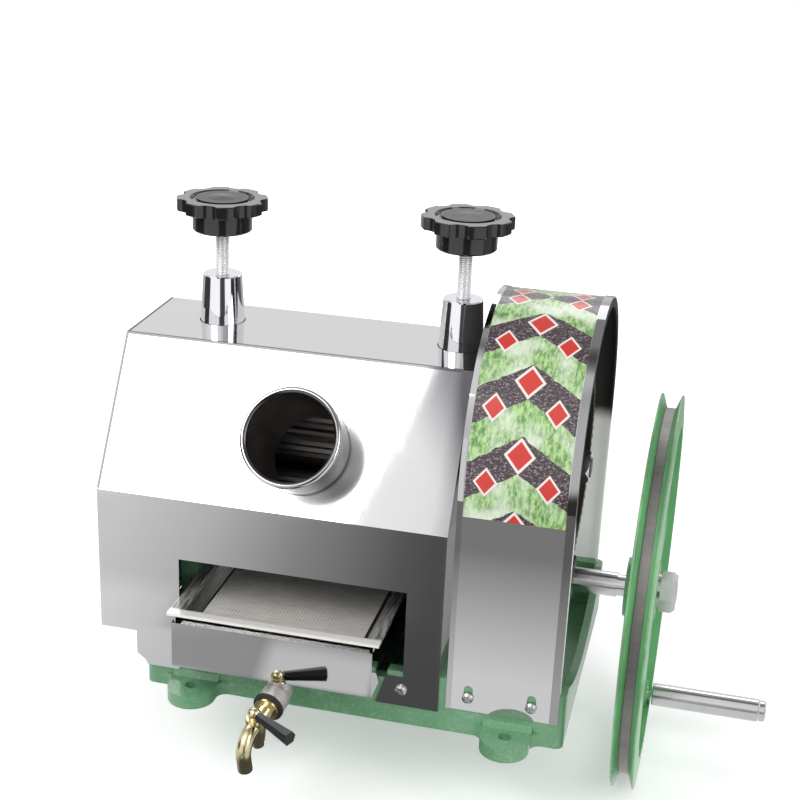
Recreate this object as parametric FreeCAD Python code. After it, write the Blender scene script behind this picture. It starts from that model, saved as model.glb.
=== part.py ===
import FreeCAD, Part
import math
import os
from FreeCAD import Vector

# Hand cranked three-roller sugarcane juicer, millimetres, +Z up.
# X runs along the rollers towards the hand wheel, -Y is the feeding side, and the origin is the
# centre of the four bench bolt holes on the underside of the base.

# fits and gaps
running_gap = 0.05        # radial play of a journal in its bush
press_gap = 0.02          # radial play left between parts that are pressed or keyed together
slide_gap = 0.25          # play of a sliding part on its guide
free_gap = 2.0            # play round a part that must not touch
sheet_gap = 0.3           # play of a sheet's hole round what passes through it
end_gap = 0.3             # end play between turning parts

# base casting
base_length = 426.0
base_depth = 307.0
base_wall_height = 58.0
base_wall = 12.0
base_drive_wall = 8.0     # right wall, which has the dip
base_floor = 6.0
base_corner_radius = 8.0
pad_height = 14.0         # seats under the side frames, measured from the underside
pad_margin = 3.0          # seat showing on each side of a frame's foot
web_thickness = 10.0      # wall between the juice side and the gear side
rail_width = 8.0          # rails that carry the tray
rail_inset = 8.0
scoop_depth = 32.0        # dip in the top edge of the right wall
scoop_inset = 20.0        # from the base's front and rear faces to the dip
lug_inset = 54.0          # bolt hole centres from the base's ends
lug_overhang = 15.0       # and in front of the base's face
lug_radius = 24.0
lug_thickness = 14.0
lug_fillet = 10.0         # between the lugs' sides and the base's face, in plan
lug_hole_radius = 6.5     # for M12
lug_web = 3.4
foot_bolt_radius = 5.0    # M10
foot_head_radius = 8.5
foot_head_height = 6.0
foot_bolt_inset = 28.0    # from the end of a frame's foot
foot_bolt_depth = 22.0    # into the frame
foot_socket = 8.0         # across the flats of the socket

# side frames and rollers
gear_end_room = 76.0      # from the casing's left end to the middle of the left frame
drive_end_room = 26.0     # from the casing's right end to the middle of the right frame
frame_thickness = 18.0
frame_foot_half = 104.0
frame_top_half = 60.0
frame_shoulder_rise = 11.0  # shoulder above the drive shaft
frame_neck_drop = 2.0     # neck below the bottom of the bearing slot
frame_horn = 33.0         # frame above the bearing block
frame_corner = 14.0
frame_arch_half = 30.0
frame_arch_rise = 40.0
frame_arch_taper = 6.0
top_roller_z = 232.0
roller_radius = 35.0
roller_pitch_gap = 6.0    # clear height between the top roller and each lower roller
lower_gear_gap = 1.7      # between the tips of the two lower gears
roller_end_gap = 4.0
flute_count = 30
flute_depth = 2.0
journal_radius = 15.0
lower_journal_radius = 13.0
seat_step = 1.0           # gear seat below the lower rollers' journals, all round
bush_wall = 4.0
bush_overhang = 2.0       # bush beyond each face of its frame
block_width = 50.0
block_height = 50.0
block_lip = 4.0
block_lip_width = 5.0
roller_lift = 2.5         # float of the top roller in its slots
turner_thickness = 9.0    # bridge between the lower rollers
turner_half = 30.0
turner_web = 8.0
turner_foot = 22.0        # web below the lower rollers' axes

# roller gears at the left
roller_gear_module = 4.0
roller_gear_width = 24.0
roller_gear_backlash = 1.7
roller_gear_offset = 15.0  # from the left frame to the gear face
circlip_thickness = 1.5
circlip_width = 4.0
seat_tail = 3.0           # gear seat beyond its circlip

# drive train at the right
gear_module = 3.0
gear_teeth = 69
pinion_teeth = 14
gear_centre_play = 0.5    # shafts set this much further apart than the pitch circles ask
gear_backlash = 0.5
gear_width = 24.0
gear_cover_room = 14.5    # from the gear's face to the cover's open edge
gear_hub_radius = 30.0
gear_hub_overhang = 8.0
gear_web = 10.0
gear_rim = 13.0
gear_window_count = 5
gear_window_margin = 9.0
gear_nut_thickness = 10.0
gear_nut_flats = 30.0
pinion_width = 30.0
pinion_overlap = 3.0      # pinion beyond the gear's face
shaft_seat_radius = 11.0
shaft_step = 1.5          # shaft beyond its seats, all round
thread_step = 1.0         # thread below the seats, all round
key_size = 6.0
housing_radius = 27.0
collar_length = 17.0      # from the housing's end to the pinion
collar_wall = 5.0
drive_bush_length = 30.0
shaft_tail = 4.0          # shaft beyond the housing at its left end
thread_tail = 0.5         # and beyond the wheel's nut at its right end

# hand wheel
wheel_stand_off = 27.0    # from the base's right end to the wheel's shoulder
wheel_radius = 199.7
wheel_rim_width = 25.0
wheel_rim_offset = 7.0    # middle of the rim beyond the middle of the hub
wheel_rim_depth = 31.7    # from the rim's outer edge to its inner edge
wheel_edge_taper = 1.5
wheel_tip = 1.6
groove_depth = 14.0
groove_bottom = 9.0
wheel_hub_radius = 30.0
wheel_hub_step = 9.0      # from the shaft's shoulder to the hub
wheel_hub_length = 32.0
spoke_count = 5
spoke_thickness = 12.0
spoke_root = 42.0
spoke_tip = 27.0
spoke_rounding = 4.0
set_screw_radius = 4.0
set_screw_head = 9.0
set_screw_inset = 6.0
nut_across_flats = 36.0
nut_thickness = 16.0
washer_thickness = 3.0
washer_radius = 19.0

# crank handle
handle_inset = 10.6       # from the rim's inner edge to the handle's axis
handle_angle = 18.3       # from straight down towards the rear, in degrees
handle_boss_radius = 15.0
spindle_radius = 6.0
spindle_collar_radius = 8.0
spindle_collar = 5.0
spindle_nut_flats = 16.0
spindle_nut_thickness = 7.0
sleeve_radius = 12.0
sleeve_length = 112.5
handle_cap_length = 7.0

# pressure screws
screw_radius = 7.0        # M14
screw_pitch = 2.0
screw_point_radius = 4.4
point_gap = 0.1
pad_radius = 12.0
pad_thickness = 6.0
pad_rest_gap = 2.8        # left pad above its bearing block, a little more than the roller's lift
pad_chamfer = 1.5
pad_recess = 4.0          # depth of the screw's point in the pad
cap_thickness = 12.0
cap_half_width = 20.0
cap_bolt_radius = 4.0     # M8
cap_bolt_head = 5.3
cap_bolt_flats = 13.0
cap_bolt_depth = 22.0
cone_rise = 49.0          # cone bush above the casing's top
cone_top_radius = 19.6
cone_seat_radius = 23.0
cone_foot = 12.0
knob_rise = 44.6          # left knob above its cone bush
right_screw_rise = 5.0    # right screw stands turned back this much further than the left one
knob_hub_radius = 29.8
knob_hub_height = 20.5
knob_hub_chamfer = 1.5
knob_rim_radius = 45.3
knob_rim_height = 12.6
knob_edge = 1.0           # chamfer round the lobes
knob_lobes = 8
knob_scallop_radius = 12.0
knob_groove_inset = 13.0  # from the rim to the ring groove in the top
knob_groove_width = 6.5
knob_groove_depth = 4.0
knob_dome_edge = 1.5      # dome's shoulder below the rim's top
knob_dome_rise = 1.0      # and its middle above it

# roller casing
sheet = 1.5
casing_overhang = 47.0    # casing's left end beyond the base's left end
gear_bay = 123.0          # from the casing's right end to the base's right end
casing_headroom = 54.0    # from the frames' top to the casing's top
casing_slope_rise = 135.0
casing_slope_run = 85.0
casing_top_depth = 122.5
lug_clearance = 0.2       # from the lugs' ribs to the casing's bottom edge
notch_overhang = 9.0      # casing's lower part beyond the base's left end
opening_shift = 1.0       # opening to the left of the room between the frames
hand_room = 39.0          # opening above the sieve
opening_step_gap = 5.0    # from the tray to the step at the opening's right
opening_step_drop = 5.0   # step below the base's top edge
opening_foot_run = 10.0
casing_screw_drop = 19.5  # below the base's top edge
casing_screw_inset = 56.0
outlet_drop = 13.0        # rear outlet below the casing's fold
outlet_height = 92.0
chute_sheet = 2.0
chute_reach = 26.0        # beyond the casing's rear wall
chute_edge = 16.0

# feed tube
tube_radius = 45.2
tube_wall = 1.5
tube_rim_bead = 3.1       # radius of the bead rolled at the tube's mouth
tube_outside = 58.0
tube_inside = 58.0
tube_up_slope = 0.41      # place of the tube's axis up the sloping panel
tube_flange = 10.0

# gear cover
cover_gap = 7.5           # from the casing to the cover
cover_inset = 6.5         # from the cover to the base's right end
cover_arc_rise = 16.0     # centre of the arch above the top roller
cover_bottom_rise = 6.5   # above the casing's bottom edge
cover_hem = 8.0           # raised hem round the open side
cover_inner_hem = 5.0     # and round the casing side
cover_hem_rise = 1.0
cover_lip = 8.0
cover_slot_shift = 2.5
cover_slot_spacing = 61.5
cover_slot_width = 9.0
cover_slot_rise = 13.0    # slot's top above its screw
cover_screw_rise = 14.5   # above the cover's bottom edge
screw_head_radius = 5.6   # M6 pan heads
screw_head_height = 3.4
screw_shank_radius = 3.0
screw_length = 12.0

# juice tray, sieve and tap
tray_sheet = 1.2
tray_left_gap = 6.0       # to the left frame
tray_right_gap = 23.0     # to the right frame
tray_pull = 41.5          # front of the tray before the base, as it usually stands
tray_short = 32.0         # tray's depth less than the base's
tray_sink = 9.0           # tray's floor below the base's top edge
tray_front_height = 48.0
tray_side_height = 55.8
tray_top_fold = 8.0
tray_door_margin = 6.0
sieve_overhang = 5.5
sieve_setback = 2.0
sieve_short = 13.0
sieve_strip = 9.0
sieve_hem = 3.2           # rim's front and side edges, turned down
sieve_slope = 12.0
sieve_drop = 17.0
sieve_ledge = 7.0
mesh_thickness = 0.8
outlet_shift = 5.5        # drop pipe to the right of the tray's middle
outlet_setback = 17.0     # and behind its front
outlet_fall = 18.0        # elbow's axis below the tray's floor
outlet_turn = 10.0        # outlet and tap, swung to the left
outlet_dip = 12.0         # and pointing downwards
outlet_pipe_radius = 12.5
outlet_bore_radius = 8.0
outlet_socket_radius = 14.5
outlet_socket = 14.0
outlet_reach = 24.0
tap_washer_radius = 15.5
tap_washer_thickness = 3.0
tap_flange_radius = 12.5
tap_flange = 4.0
tap_neck_radius = 8.5
tap_reach = 52.0          # plug's axis, in front of the drop pipe
tap_barrel_radius = 9.5
tap_barrel_top = 9.0
tap_barrel_bottom = 20.0
tap_plug_radius = 6.0
tap_plug_stub = 6.0
tap_spout_radius = 7.2
tap_spout_bore = 4.8
tap_spout_bend = 18.0
tap_spout_start = 10.0
tap_spout_drop = 15.0
tap_ball_radius = 6.5     # head of the plug
tap_ball_rise = 4.9       # its centre above the barrel
tap_pin_radius = 2.5      # pin from the head into the lever
tap_pin_length = 22.0
lever_length = 50.0
lever_near_width = 9.0
lever_near_thickness = 8.0
lever_far_width = 15.0
lever_far_thickness = 13.0
lever_turn = 21.0         # ahead of straight right; 90 is fully open

# lengthwise places
base_left_x = -base_length / 2
base_right_x = base_length / 2
lug_spacing_x = base_length - 2 * lug_inset
casing_left_x = base_left_x - casing_overhang
casing_right_x = base_right_x - gear_bay
left_frame_x = casing_left_x + gear_end_room
right_frame_x = casing_right_x - drive_end_room
bay_centre_x = (left_frame_x + right_frame_x) / 2
left_inner_x = left_frame_x + frame_thickness / 2
right_inner_x = right_frame_x - frame_thickness / 2
left_outer_x = left_frame_x - frame_thickness / 2
right_outer_x = right_frame_x + frame_thickness / 2
roller_left_x = left_inner_x + roller_end_gap
roller_right_x = right_inner_x - roller_end_gap
roller_gear_x = left_outer_x - roller_gear_offset - roller_gear_width
roller_tail_x = roller_gear_x - 2 * circlip_thickness - seat_tail
bush_length = frame_thickness + 2 * bush_overhang
cover_left_x = casing_right_x + cover_gap
cover_right_x = base_right_x - cover_inset
gear_face_x = cover_right_x - gear_cover_room
gear_hub_x = gear_face_x - gear_width - gear_hub_overhang
gear_nut_end = gear_face_x + gear_nut_thickness
pinion_shoulder_x = gear_face_x + pinion_overlap
pinion_left_x = pinion_shoulder_x - pinion_width
housing_inner_x = right_inner_x
housing_end_x = pinion_left_x - collar_length
wheel_shoulder_x = base_right_x + wheel_stand_off
wheel_hub_x = wheel_shoulder_x + wheel_hub_step
wheel_hub_end = wheel_hub_x + wheel_hub_length
wheel_rim_x = wheel_hub_x + wheel_hub_length / 2 + wheel_rim_offset
set_screw_x = wheel_hub_x + set_screw_inset
spindle_start_x = wheel_rim_x - spoke_thickness / 2
tray_left_x = left_inner_x + tray_left_gap
tray_right_x = right_inner_x - tray_right_gap
outlet_x = (tray_left_x + tray_right_x) / 2 + outlet_shift
opening_left_x = left_inner_x - opening_shift
opening_right_x = right_inner_x - opening_shift
opening_step_x = tray_right_x + opening_step_gap
opening_foot_x = opening_step_x - opening_foot_run
casing_notch_x = base_left_x - notch_overhang

# places from front to rear
base_front = -base_depth / 2
base_rear = base_depth / 2
skin_front = base_front - sheet
skin_rear = base_rear + sheet
scoop_length = base_depth - 2 * scoop_inset
foot_bolt_y = frame_foot_half - foot_bolt_inset
cap_bolt_y = (block_width / 2 + frame_top_half) / 2
casing_slope_top_y = skin_front + casing_slope_run
casing_top_rear_y = casing_slope_top_y + casing_top_depth
tray_front_y = base_front - tray_pull
tray_depth = base_depth - tray_short
sieve_front_y = tray_front_y + sieve_setback
sieve_depth = tray_depth - sieve_short
outlet_y = tray_front_y + outlet_setback

# rollers and gears
roller_spacing = 2 * roller_radius + roller_pitch_gap
roller_gear_teeth = math.floor(roller_spacing / roller_gear_module)
roller_gear_tip = roller_gear_module * (roller_gear_teeth / 2 + 0.95)
lower_roller_half = roller_gear_tip + lower_gear_gap
lower_roller_z = top_roller_z - math.sqrt(roller_spacing ** 2 - lower_roller_half ** 2)
gear_seat_radius = lower_journal_radius - seat_step
shaft_radius = shaft_seat_radius + shaft_step
nut_thread_radius = shaft_seat_radius - thread_step
drive_z = top_roller_z - gear_module * (gear_teeth + pinion_teeth) / 2 - gear_centre_play
top_gear_first = math.pi / 2
wheel_rim_inner = wheel_radius - wheel_rim_depth
handle_radius = wheel_rim_inner - handle_inset

# heights
slot_bottom_z = top_roller_z - block_height / 2
pad_bottom_z = top_roller_z + block_height / 2 + pad_rest_gap
frame_shoulder_z = drive_z + frame_shoulder_rise
frame_neck_z = slot_bottom_z - frame_neck_drop
frame_top_z = top_roller_z + block_height / 2 + frame_horn
cap_top_z = frame_top_z + cap_thickness
casing_top_z = frame_top_z + casing_headroom
casing_fold_z = casing_top_z - casing_slope_rise
casing_front_z = lug_thickness + 2 * lug_web + lug_clearance
casing_screw_z = base_wall_height - casing_screw_drop
outlet_top_z = casing_fold_z - outlet_drop
outlet_bottom_z = outlet_top_z - outlet_height
cone_top_z = casing_top_z + cone_rise
knob_bottom_z = cone_top_z + knob_rise
cover_arc_z = top_roller_z + cover_arc_rise
cover_bottom_z = casing_front_z + cover_bottom_rise
cover_screw_z = cover_bottom_z + cover_screw_rise
cover_slot_top_z = cover_screw_z + cover_slot_rise
tray_floor_z = base_wall_height - tray_sink
sieve_top_z = tray_floor_z + tray_side_height + tray_sheet
opening_top_z = sieve_top_z + hand_room
opening_step_z = base_wall_height - opening_step_drop
outlet_z = tray_floor_z - outlet_fall


def box(x0, x1, y0, y1, z0, z1):
    return Part.makeBox(x1 - x0, y1 - y0, z1 - z0, Vector(x0, y0, z0))


def rod_x(radius, x0, x1, y=0.0, z=0.0):
    return Part.makeCylinder(radius, x1 - x0, Vector(x0, y, z), Vector(1, 0, 0))


def rod_y(radius, y0, y1, x=0.0, z=0.0):
    return Part.makeCylinder(radius, y1 - y0, Vector(x, y0, z), Vector(0, 1, 0))


def rod_z(radius, z0, z1, x=0.0, y=0.0):
    return Part.makeCylinder(radius, z1 - z0, Vector(x, y, z0), Vector(0, 0, 1))


def ring_x(outer, inner, x0, x1, y=0.0, z=0.0):
    return rod_x(outer, x0, x1, y, z).cut(rod_x(inner, x0 - 1, x1 + 1, y, z))


def ring_z(outer, inner, z0, z1, x=0.0, y=0.0):
    return rod_z(outer, z0, z1, x, y).cut(rod_z(inner, z0 - 1, z1 + 1, x, y))


def plate_x(points, x0, x1):
    """Flat outline of (y, z) points, given thickness along X."""
    corners = [Vector(x0, y, z) for y, z in points]
    return Part.Face(Part.makePolygon(corners + corners[:1])).extrude(Vector(x1 - x0, 0, 0))


def plate_y(points, y0, y1):
    """Flat outline of (x, z) points, given thickness along Y."""
    corners = [Vector(x, y0, z) for x, z in points]
    return Part.Face(Part.makePolygon(corners + corners[:1])).extrude(Vector(0, y1 - y0, 0))


def turned_x(points, y=0.0, z=0.0):
    """Outline of (x, radius) points, turned about an axis along X."""
    corners = [Vector(x, y, z + r) for x, r in points]
    face = Part.Face(Part.makePolygon(corners + corners[:1]))
    return face.revolve(Vector(0, y, z), Vector(1, 0, 0), 360)


def turned_z(points, x=0.0, y=0.0):
    """Outline of (radius, z) points, turned about an axis along Z."""
    corners = [Vector(x + r, y, z) for r, z in points]
    face = Part.Face(Part.makePolygon(corners + corners[:1]))
    return face.revolve(Vector(x, y, 0), Vector(0, 0, 1), 360)


def hex_x(across_flats, x0, x1, y=0.0, z=0.0):
    """Hexagon bar along X with its corners turned off at the outer end."""
    corner = across_flats / math.sqrt(3)
    points = [(y + corner * math.cos(math.radians(60 * k)), z + corner * math.sin(math.radians(60 * k)))
              for k in range(6)]
    chamfer = 0.12 * across_flats
    cone = turned_x([(x0, 0), (x0, corner + 1), (x1 - chamfer, corner + 0.2),
                     (x1, across_flats / 2 - 0.3), (x1, 0)], y, z)
    return plate_x(points, x0, x1).common(cone)


def hex_z(across_flats, z0, z1, x=0.0, y=0.0):
    corner = across_flats / math.sqrt(3)
    corners = [Vector(x + corner * math.cos(math.radians(60 * k)),
                      y + corner * math.sin(math.radians(60 * k)), z0)
               for k in range(6)]
    return Part.Face(Part.makePolygon(corners + corners[:1])).extrude(Vector(0, 0, z1 - z0))


def vertical_edges(shape):
    """The straight edges along Z of a box."""
    found = []
    for edge in shape.Edges:
        a, b = edge.Vertexes[0].Point, edge.Vertexes[1].Point
        if abs(a.x - b.x) < 0.01 and abs(a.y - b.y) < 0.01:
            found.append(edge)
    return found


def edges_along_x(shape, inside):
    """Straight edges along X whose middle passes the test inside(y, z)."""
    found = []
    for edge in shape.Edges:
        if len(edge.Vertexes) < 2 or edge.Curve.TypeId != "Part::GeomLine":
            continue
        a, b = edge.Vertexes[0].Point, edge.Vertexes[1].Point
        if abs(a.y - b.y) < 0.01 and abs(a.z - b.z) < 0.01 and inside(a.y, a.z):
            found.append(edge)
    return found


def involute_gear(module, teeth, x0, x1, backlash, first_tooth, y, z):
    """Spur gear blank along X; first_tooth is the angle of one tooth's middle, from +Y towards +Z."""
    pitch_radius = module * teeth / 2
    base_radius = pitch_radius * math.cos(math.radians(20))
    tip_radius = pitch_radius + 0.95 * module
    root_radius = pitch_radius - 1.25 * module
    half_tooth = (math.pi * module / 2 - backlash) / (2 * pitch_radius)

    def involute(angle):
        return math.tan(angle) - angle

    def half_angle(radius):
        pressure = math.acos(min(1.0, base_radius / radius))
        return half_tooth + involute(math.radians(20)) - involute(pressure)

    flank = [root_radius]
    for step in range(4):
        start = max(base_radius, root_radius + 0.1)
        flank.append(start + (tip_radius - start) * step / 3)
    points = []
    for tooth in range(teeth):
        middle = first_tooth + 2 * math.pi * tooth / teeth
        for side in (-1, 1):
            radii = flank if side < 0 else reversed(flank)
            for radius in radii:
                angle = middle + side * half_angle(max(radius, base_radius))
                points.append((y + radius * math.cos(angle), z + radius * math.sin(angle)))
    return plate_x(points, x0, x1)


def facing_tooth(toward, own_first, own_teeth, mate_teeth):
    """First-tooth angle of a mate, so that its gap meets the first gear's tooth in direction toward."""
    pitch = 2 * math.pi / own_teeth
    nearest = own_first + pitch * round((toward - own_first) / pitch)
    lead = nearest - toward
    return toward + math.pi - lead * own_teeth / mate_teeth + math.pi / mate_teeth


def key_x(x0, x1, seat_radius, y, z):
    """Square key standing half in the shaft and half in the hub, on the shaft's top side."""
    half = key_size / 2
    return box(x0, x1, y - half, y + half, z + seat_radius - half, z + seat_radius + half)


def keyway_x(x0, x1, seat_radius, y, z):
    half = key_size / 2 + press_gap
    return box(x0, x1, y - half, y + half, z + seat_radius - half, z + seat_radius + half)


# base and frames

def base_casting():
    half_length = base_length / 2
    casting = box(-half_length, half_length, base_front, base_rear, 0, base_wall_height)
    casting = casting.makeFillet(base_corner_radius, vertical_edges(casting))
    inner = half_length - base_wall
    drive_wall_x = half_length - base_drive_wall
    pocket = box(-inner, drive_wall_x, base_front + base_wall, base_rear - base_wall, base_floor,
                 base_wall_height + 1)
    pocket = pocket.makeFillet(base_corner_radius / 2, vertical_edges(pocket))
    casting = casting.cut(pocket)
    web_x = casing_right_x - sheet / 2
    casting = casting.fuse(box(web_x - web_thickness / 2, web_x + web_thickness / 2,
                               base_front + 1, base_rear - 1, 1, base_wall_height))
    for frame_x in (left_frame_x, right_frame_x):
        for side in (-1, 1):
            centre = side * foot_bolt_y
            half = frame_foot_half - foot_bolt_y
            casting = casting.fuse(box(frame_x - frame_thickness / 2 - pad_margin,
                                       frame_x + frame_thickness / 2 + pad_margin,
                                       centre - half, centre + half, 1, pad_height))
    for rail_x in (tray_left_x + rail_inset, tray_right_x - rail_inset - rail_width):
        casting = casting.fuse(box(rail_x, rail_x + rail_width, base_front + 1, frame_foot_half, 1,
                                   tray_floor_z))
    casting = casting.cut(box(tray_left_x - tray_door_margin, tray_right_x + tray_door_margin, base_front - 1,
                              base_front + base_wall + 0.01, tray_floor_z, base_wall_height + 1))
    sweep_radius = (scoop_length ** 2 / 4 + scoop_depth ** 2) / (2 * scoop_depth)
    casting = casting.cut(rod_x(sweep_radius, drive_wall_x - 1, half_length + 1, 0,
                                base_wall_height - scoop_depth + sweep_radius))
    for side in (-1, 1):
        face_y = side * base_depth / 2
        for lug_x in (-lug_spacing_x / 2, lug_spacing_x / 2):
            hole_y = face_y + side * lug_overhang
            lug = rod_z(lug_radius, 0, lug_thickness, lug_x, hole_y)
            low, high = sorted((face_y - side, hole_y))
            lug = lug.fuse(box(lug_x - lug_radius, lug_x + lug_radius, low, high, 0, lug_thickness))
            low, high = sorted((face_y - side, face_y + side * lug_fillet))
            half = lug_radius + lug_fillet
            corner = box(lug_x - half, lug_x + half, low, high, 0, lug_thickness)
            for end in (-half, half):
                corner = corner.cut(rod_z(lug_fillet, -1, lug_thickness + 1, lug_x + end,
                                          face_y + side * lug_fillet))
            lug = lug.fuse(corner)
            rib = plate_x([(face_y - side, lug_thickness - 1), (face_y + side * lug_web, lug_thickness - 1),
                           (face_y, lug_thickness + 2 * lug_web),
                           (face_y - side, lug_thickness + 2 * lug_web)],
                          lug_x - lug_radius, lug_x + lug_radius)
            casting = casting.fuse(lug.fuse(rib))
            casting = casting.cut(rod_z(lug_hole_radius, -1, base_wall_height, lug_x, hole_y))
    for frame_x in (left_frame_x, right_frame_x):
        for bolt_y in (-foot_bolt_y, foot_bolt_y):
            casting = casting.cut(rod_z(foot_bolt_radius + 0.5, -1, pad_height + 1, frame_x, bolt_y))
            casting = casting.cut(rod_z(foot_head_radius + 1, -1, foot_head_height + 0.5, frame_x, bolt_y))
    casting = casting.cut(cover_screw_holes(screw_shank_radius + press_gap, 14))
    casting = casting.cut(casing_screw_holes(screw_shank_radius + press_gap, 14))
    return casting.removeSplitter()


def foot_bolts():
    """M10 screws with low heads, from under the base into the side frames' feet."""
    bolts = []
    for frame_x in (left_frame_x, right_frame_x):
        for bolt_y in (-foot_bolt_y, foot_bolt_y):
            head = rod_z(foot_head_radius, 0.4, foot_head_height + 0.5, frame_x, bolt_y)
            head = head.cut(hex_z(foot_socket, -1, 0.4 + foot_head_height / 2, frame_x, bolt_y))
            bolts.append(head.fuse(rod_z(foot_bolt_radius, foot_head_height, pad_height + foot_bolt_depth,
                                         frame_x, bolt_y)))
    return Part.makeCompound(bolts)


def frame_outline():
    points = [(frame_foot_half, pad_height), (frame_foot_half, frame_shoulder_z),
              (frame_top_half, frame_neck_z), (frame_top_half, frame_top_z)]
    return points + [(-y, z) for y, z in reversed(points)]


def side_frame(frame_x, with_housing):
    x0 = frame_x - frame_thickness / 2
    x1 = frame_x + frame_thickness / 2
    plate = plate_x(frame_outline(), x0, x1)
    plate = plate.makeFillet(frame_corner, edges_along_x(
        plate, lambda y, z: abs(z - frame_shoulder_z) < 1 or abs(z - frame_neck_z) < 1))
    arch_top = frame_arch_half - frame_arch_taper
    arch = plate_x([(-frame_arch_half, pad_height - 1), (-arch_top, pad_height + frame_arch_rise),
                    (arch_top, pad_height + frame_arch_rise), (frame_arch_half, pad_height - 1)], x0 - 1,
                    x1 + 1)
    plate = plate.cut(arch)
    slot_half = block_width / 2 + slide_gap
    plate = plate.cut(box(x0 - 1, x1 + 1, -slot_half, slot_half, slot_bottom_z, frame_top_z + 1))
    for side in (-1, 1):
        plate = plate.cut(rod_x(lower_journal_radius + bush_wall, x0 - 1, x1 + 1,
                                side * lower_roller_half, lower_roller_z))
        plate = plate.cut(rod_z(foot_bolt_radius + press_gap, pad_height - 1,
                                pad_height + foot_bolt_depth + free_gap, frame_x, side * foot_bolt_y))
        plate = plate.cut(rod_z(cap_bolt_radius + press_gap, frame_top_z - cap_bolt_depth - free_gap,
                                frame_top_z + 1, frame_x, side * cap_bolt_y))
    if with_housing:
        plate = plate.fuse(rod_x(housing_radius, housing_inner_x, housing_end_x, 0, drive_z))
        plate = plate.cut(rod_x(shaft_seat_radius + bush_wall, housing_inner_x - 1, housing_end_x + 1, 0,
                                drive_z))
    return plate.removeSplitter()


def frame_cap(frame_x):
    """Bridge over the open slot, which carries the pressure screw."""
    cap = box(frame_x - cap_half_width, frame_x + cap_half_width, -frame_top_half, frame_top_half,
              frame_top_z, cap_top_z)
    cap = cap.makeFillet(cap_thickness / 2, vertical_edges(cap))
    cap = cap.cut(rod_z(screw_radius + 1, frame_top_z - 1, cap_top_z + 1, frame_x, 0))
    for side in (-1, 1):
        cap = cap.cut(rod_z(cap_bolt_radius + sheet_gap, frame_top_z - 1, cap_top_z + 1, frame_x,
                            side * cap_bolt_y))
    return cap


def cap_bolts():
    bolts = []
    for frame_x in (left_frame_x, right_frame_x):
        for side in (-1, 1):
            head = hex_z(cap_bolt_flats, cap_top_z, cap_top_z + cap_bolt_head, frame_x, side * cap_bolt_y)
            bolts.append(head.fuse(rod_z(cap_bolt_radius, frame_top_z - cap_bolt_depth, cap_top_z + 1,
                                         frame_x, side * cap_bolt_y)))
    return Part.makeCompound(bolts)


# rollers and their bearings

def fluted_barrel(y, z):
    points = []
    for k in range(2 * flute_count):
        radius = roller_radius if k % 2 == 0 else roller_radius - flute_depth
        angle = math.pi * k / flute_count
        points.append((y + radius * math.cos(angle), z + radius * math.sin(angle)))
    return plate_x(points, roller_left_x, roller_right_x)


def lower_roller(y):
    z = lower_roller_z
    roller = fluted_barrel(y, z)
    roller = roller.fuse(rod_x(lower_journal_radius, left_outer_x - roller_gear_offset, right_outer_x + 4,
                               y, z))
    roller = roller.fuse(rod_x(gear_seat_radius, roller_tail_x, left_outer_x, y, z))
    groove_x = roller_gear_x - circlip_thickness
    return roller.cut(ring_x(gear_seat_radius + 1, gear_seat_radius - 1, groove_x, roller_gear_x, y, z))


def top_roller():
    z = top_roller_z
    roller = fluted_barrel(0, z)
    roller = roller.fuse(rod_x(journal_radius, left_outer_x - roller_gear_offset, gear_hub_x, 0, z))
    roller = roller.fuse(rod_x(gear_seat_radius, roller_tail_x, left_outer_x, 0, z))
    groove_x = roller_gear_x - circlip_thickness
    roller = roller.cut(ring_x(gear_seat_radius + 1, gear_seat_radius - 1, groove_x, roller_gear_x, 0, z))
    roller = roller.fuse(rod_x(gear_seat_radius, gear_hub_x - 1, gear_face_x, 0, z))
    roller = roller.fuse(rod_x(nut_thread_radius, gear_face_x - 1, gear_nut_end + 1, 0, z))
    return roller.cut(keyway_x(gear_hub_x, gear_face_x, gear_seat_radius, 0, z))


def circlip(y, z):
    x0 = roller_gear_x - circlip_thickness
    ring = ring_x(gear_seat_radius + circlip_width, gear_seat_radius - 1 + press_gap, x0 + 0.05,
                  roller_gear_x - 0.05, y, z)
    return ring.cut(box(x0 - 1, roller_gear_x + 1, y - 3, y + 3, z - gear_seat_radius - circlip_width - 1, z))


def bearing_block(frame_x, outward):
    x0 = frame_x - frame_thickness / 2
    x1 = frame_x + frame_thickness / 2
    half_w = block_width / 2
    half_h = block_height / 2
    block = box(x0 - 1, x1 + 1, -half_w, half_w, top_roller_z - half_h, top_roller_z + half_h)
    lip_x = x0 - slide_gap - block_lip if outward < 0 else x1 + slide_gap
    half_lip = half_w + block_lip_width
    lip = box(lip_x, lip_x + block_lip, -half_lip, half_lip, top_roller_z - half_h + block_lip,
              top_roller_z + half_h)
    block = block.fuse(lip)
    return block.cut(rod_x(journal_radius + bush_wall, x0 - 9, x1 + 9, 0, top_roller_z)).removeSplitter()


def bush(seat_radius, x0, x1, y, z):
    return ring_x(seat_radius + bush_wall - press_gap, seat_radius + running_gap, x0, x1, y, z)


def top_bushes():
    pair = []
    for frame_x in (left_frame_x, right_frame_x):
        pair.append(bush(journal_radius, frame_x - bush_length / 2, frame_x + bush_length / 2, 0,
                         top_roller_z))
    return Part.makeCompound(pair)


def lower_bushes():
    four = []
    for frame_x in (left_frame_x, right_frame_x):
        for side in (-1, 1):
            four.append(bush(lower_journal_radius, frame_x - bush_length / 2, frame_x + bush_length / 2,
                             side * lower_roller_half, lower_roller_z))
    return Part.makeCompound(four)


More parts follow.
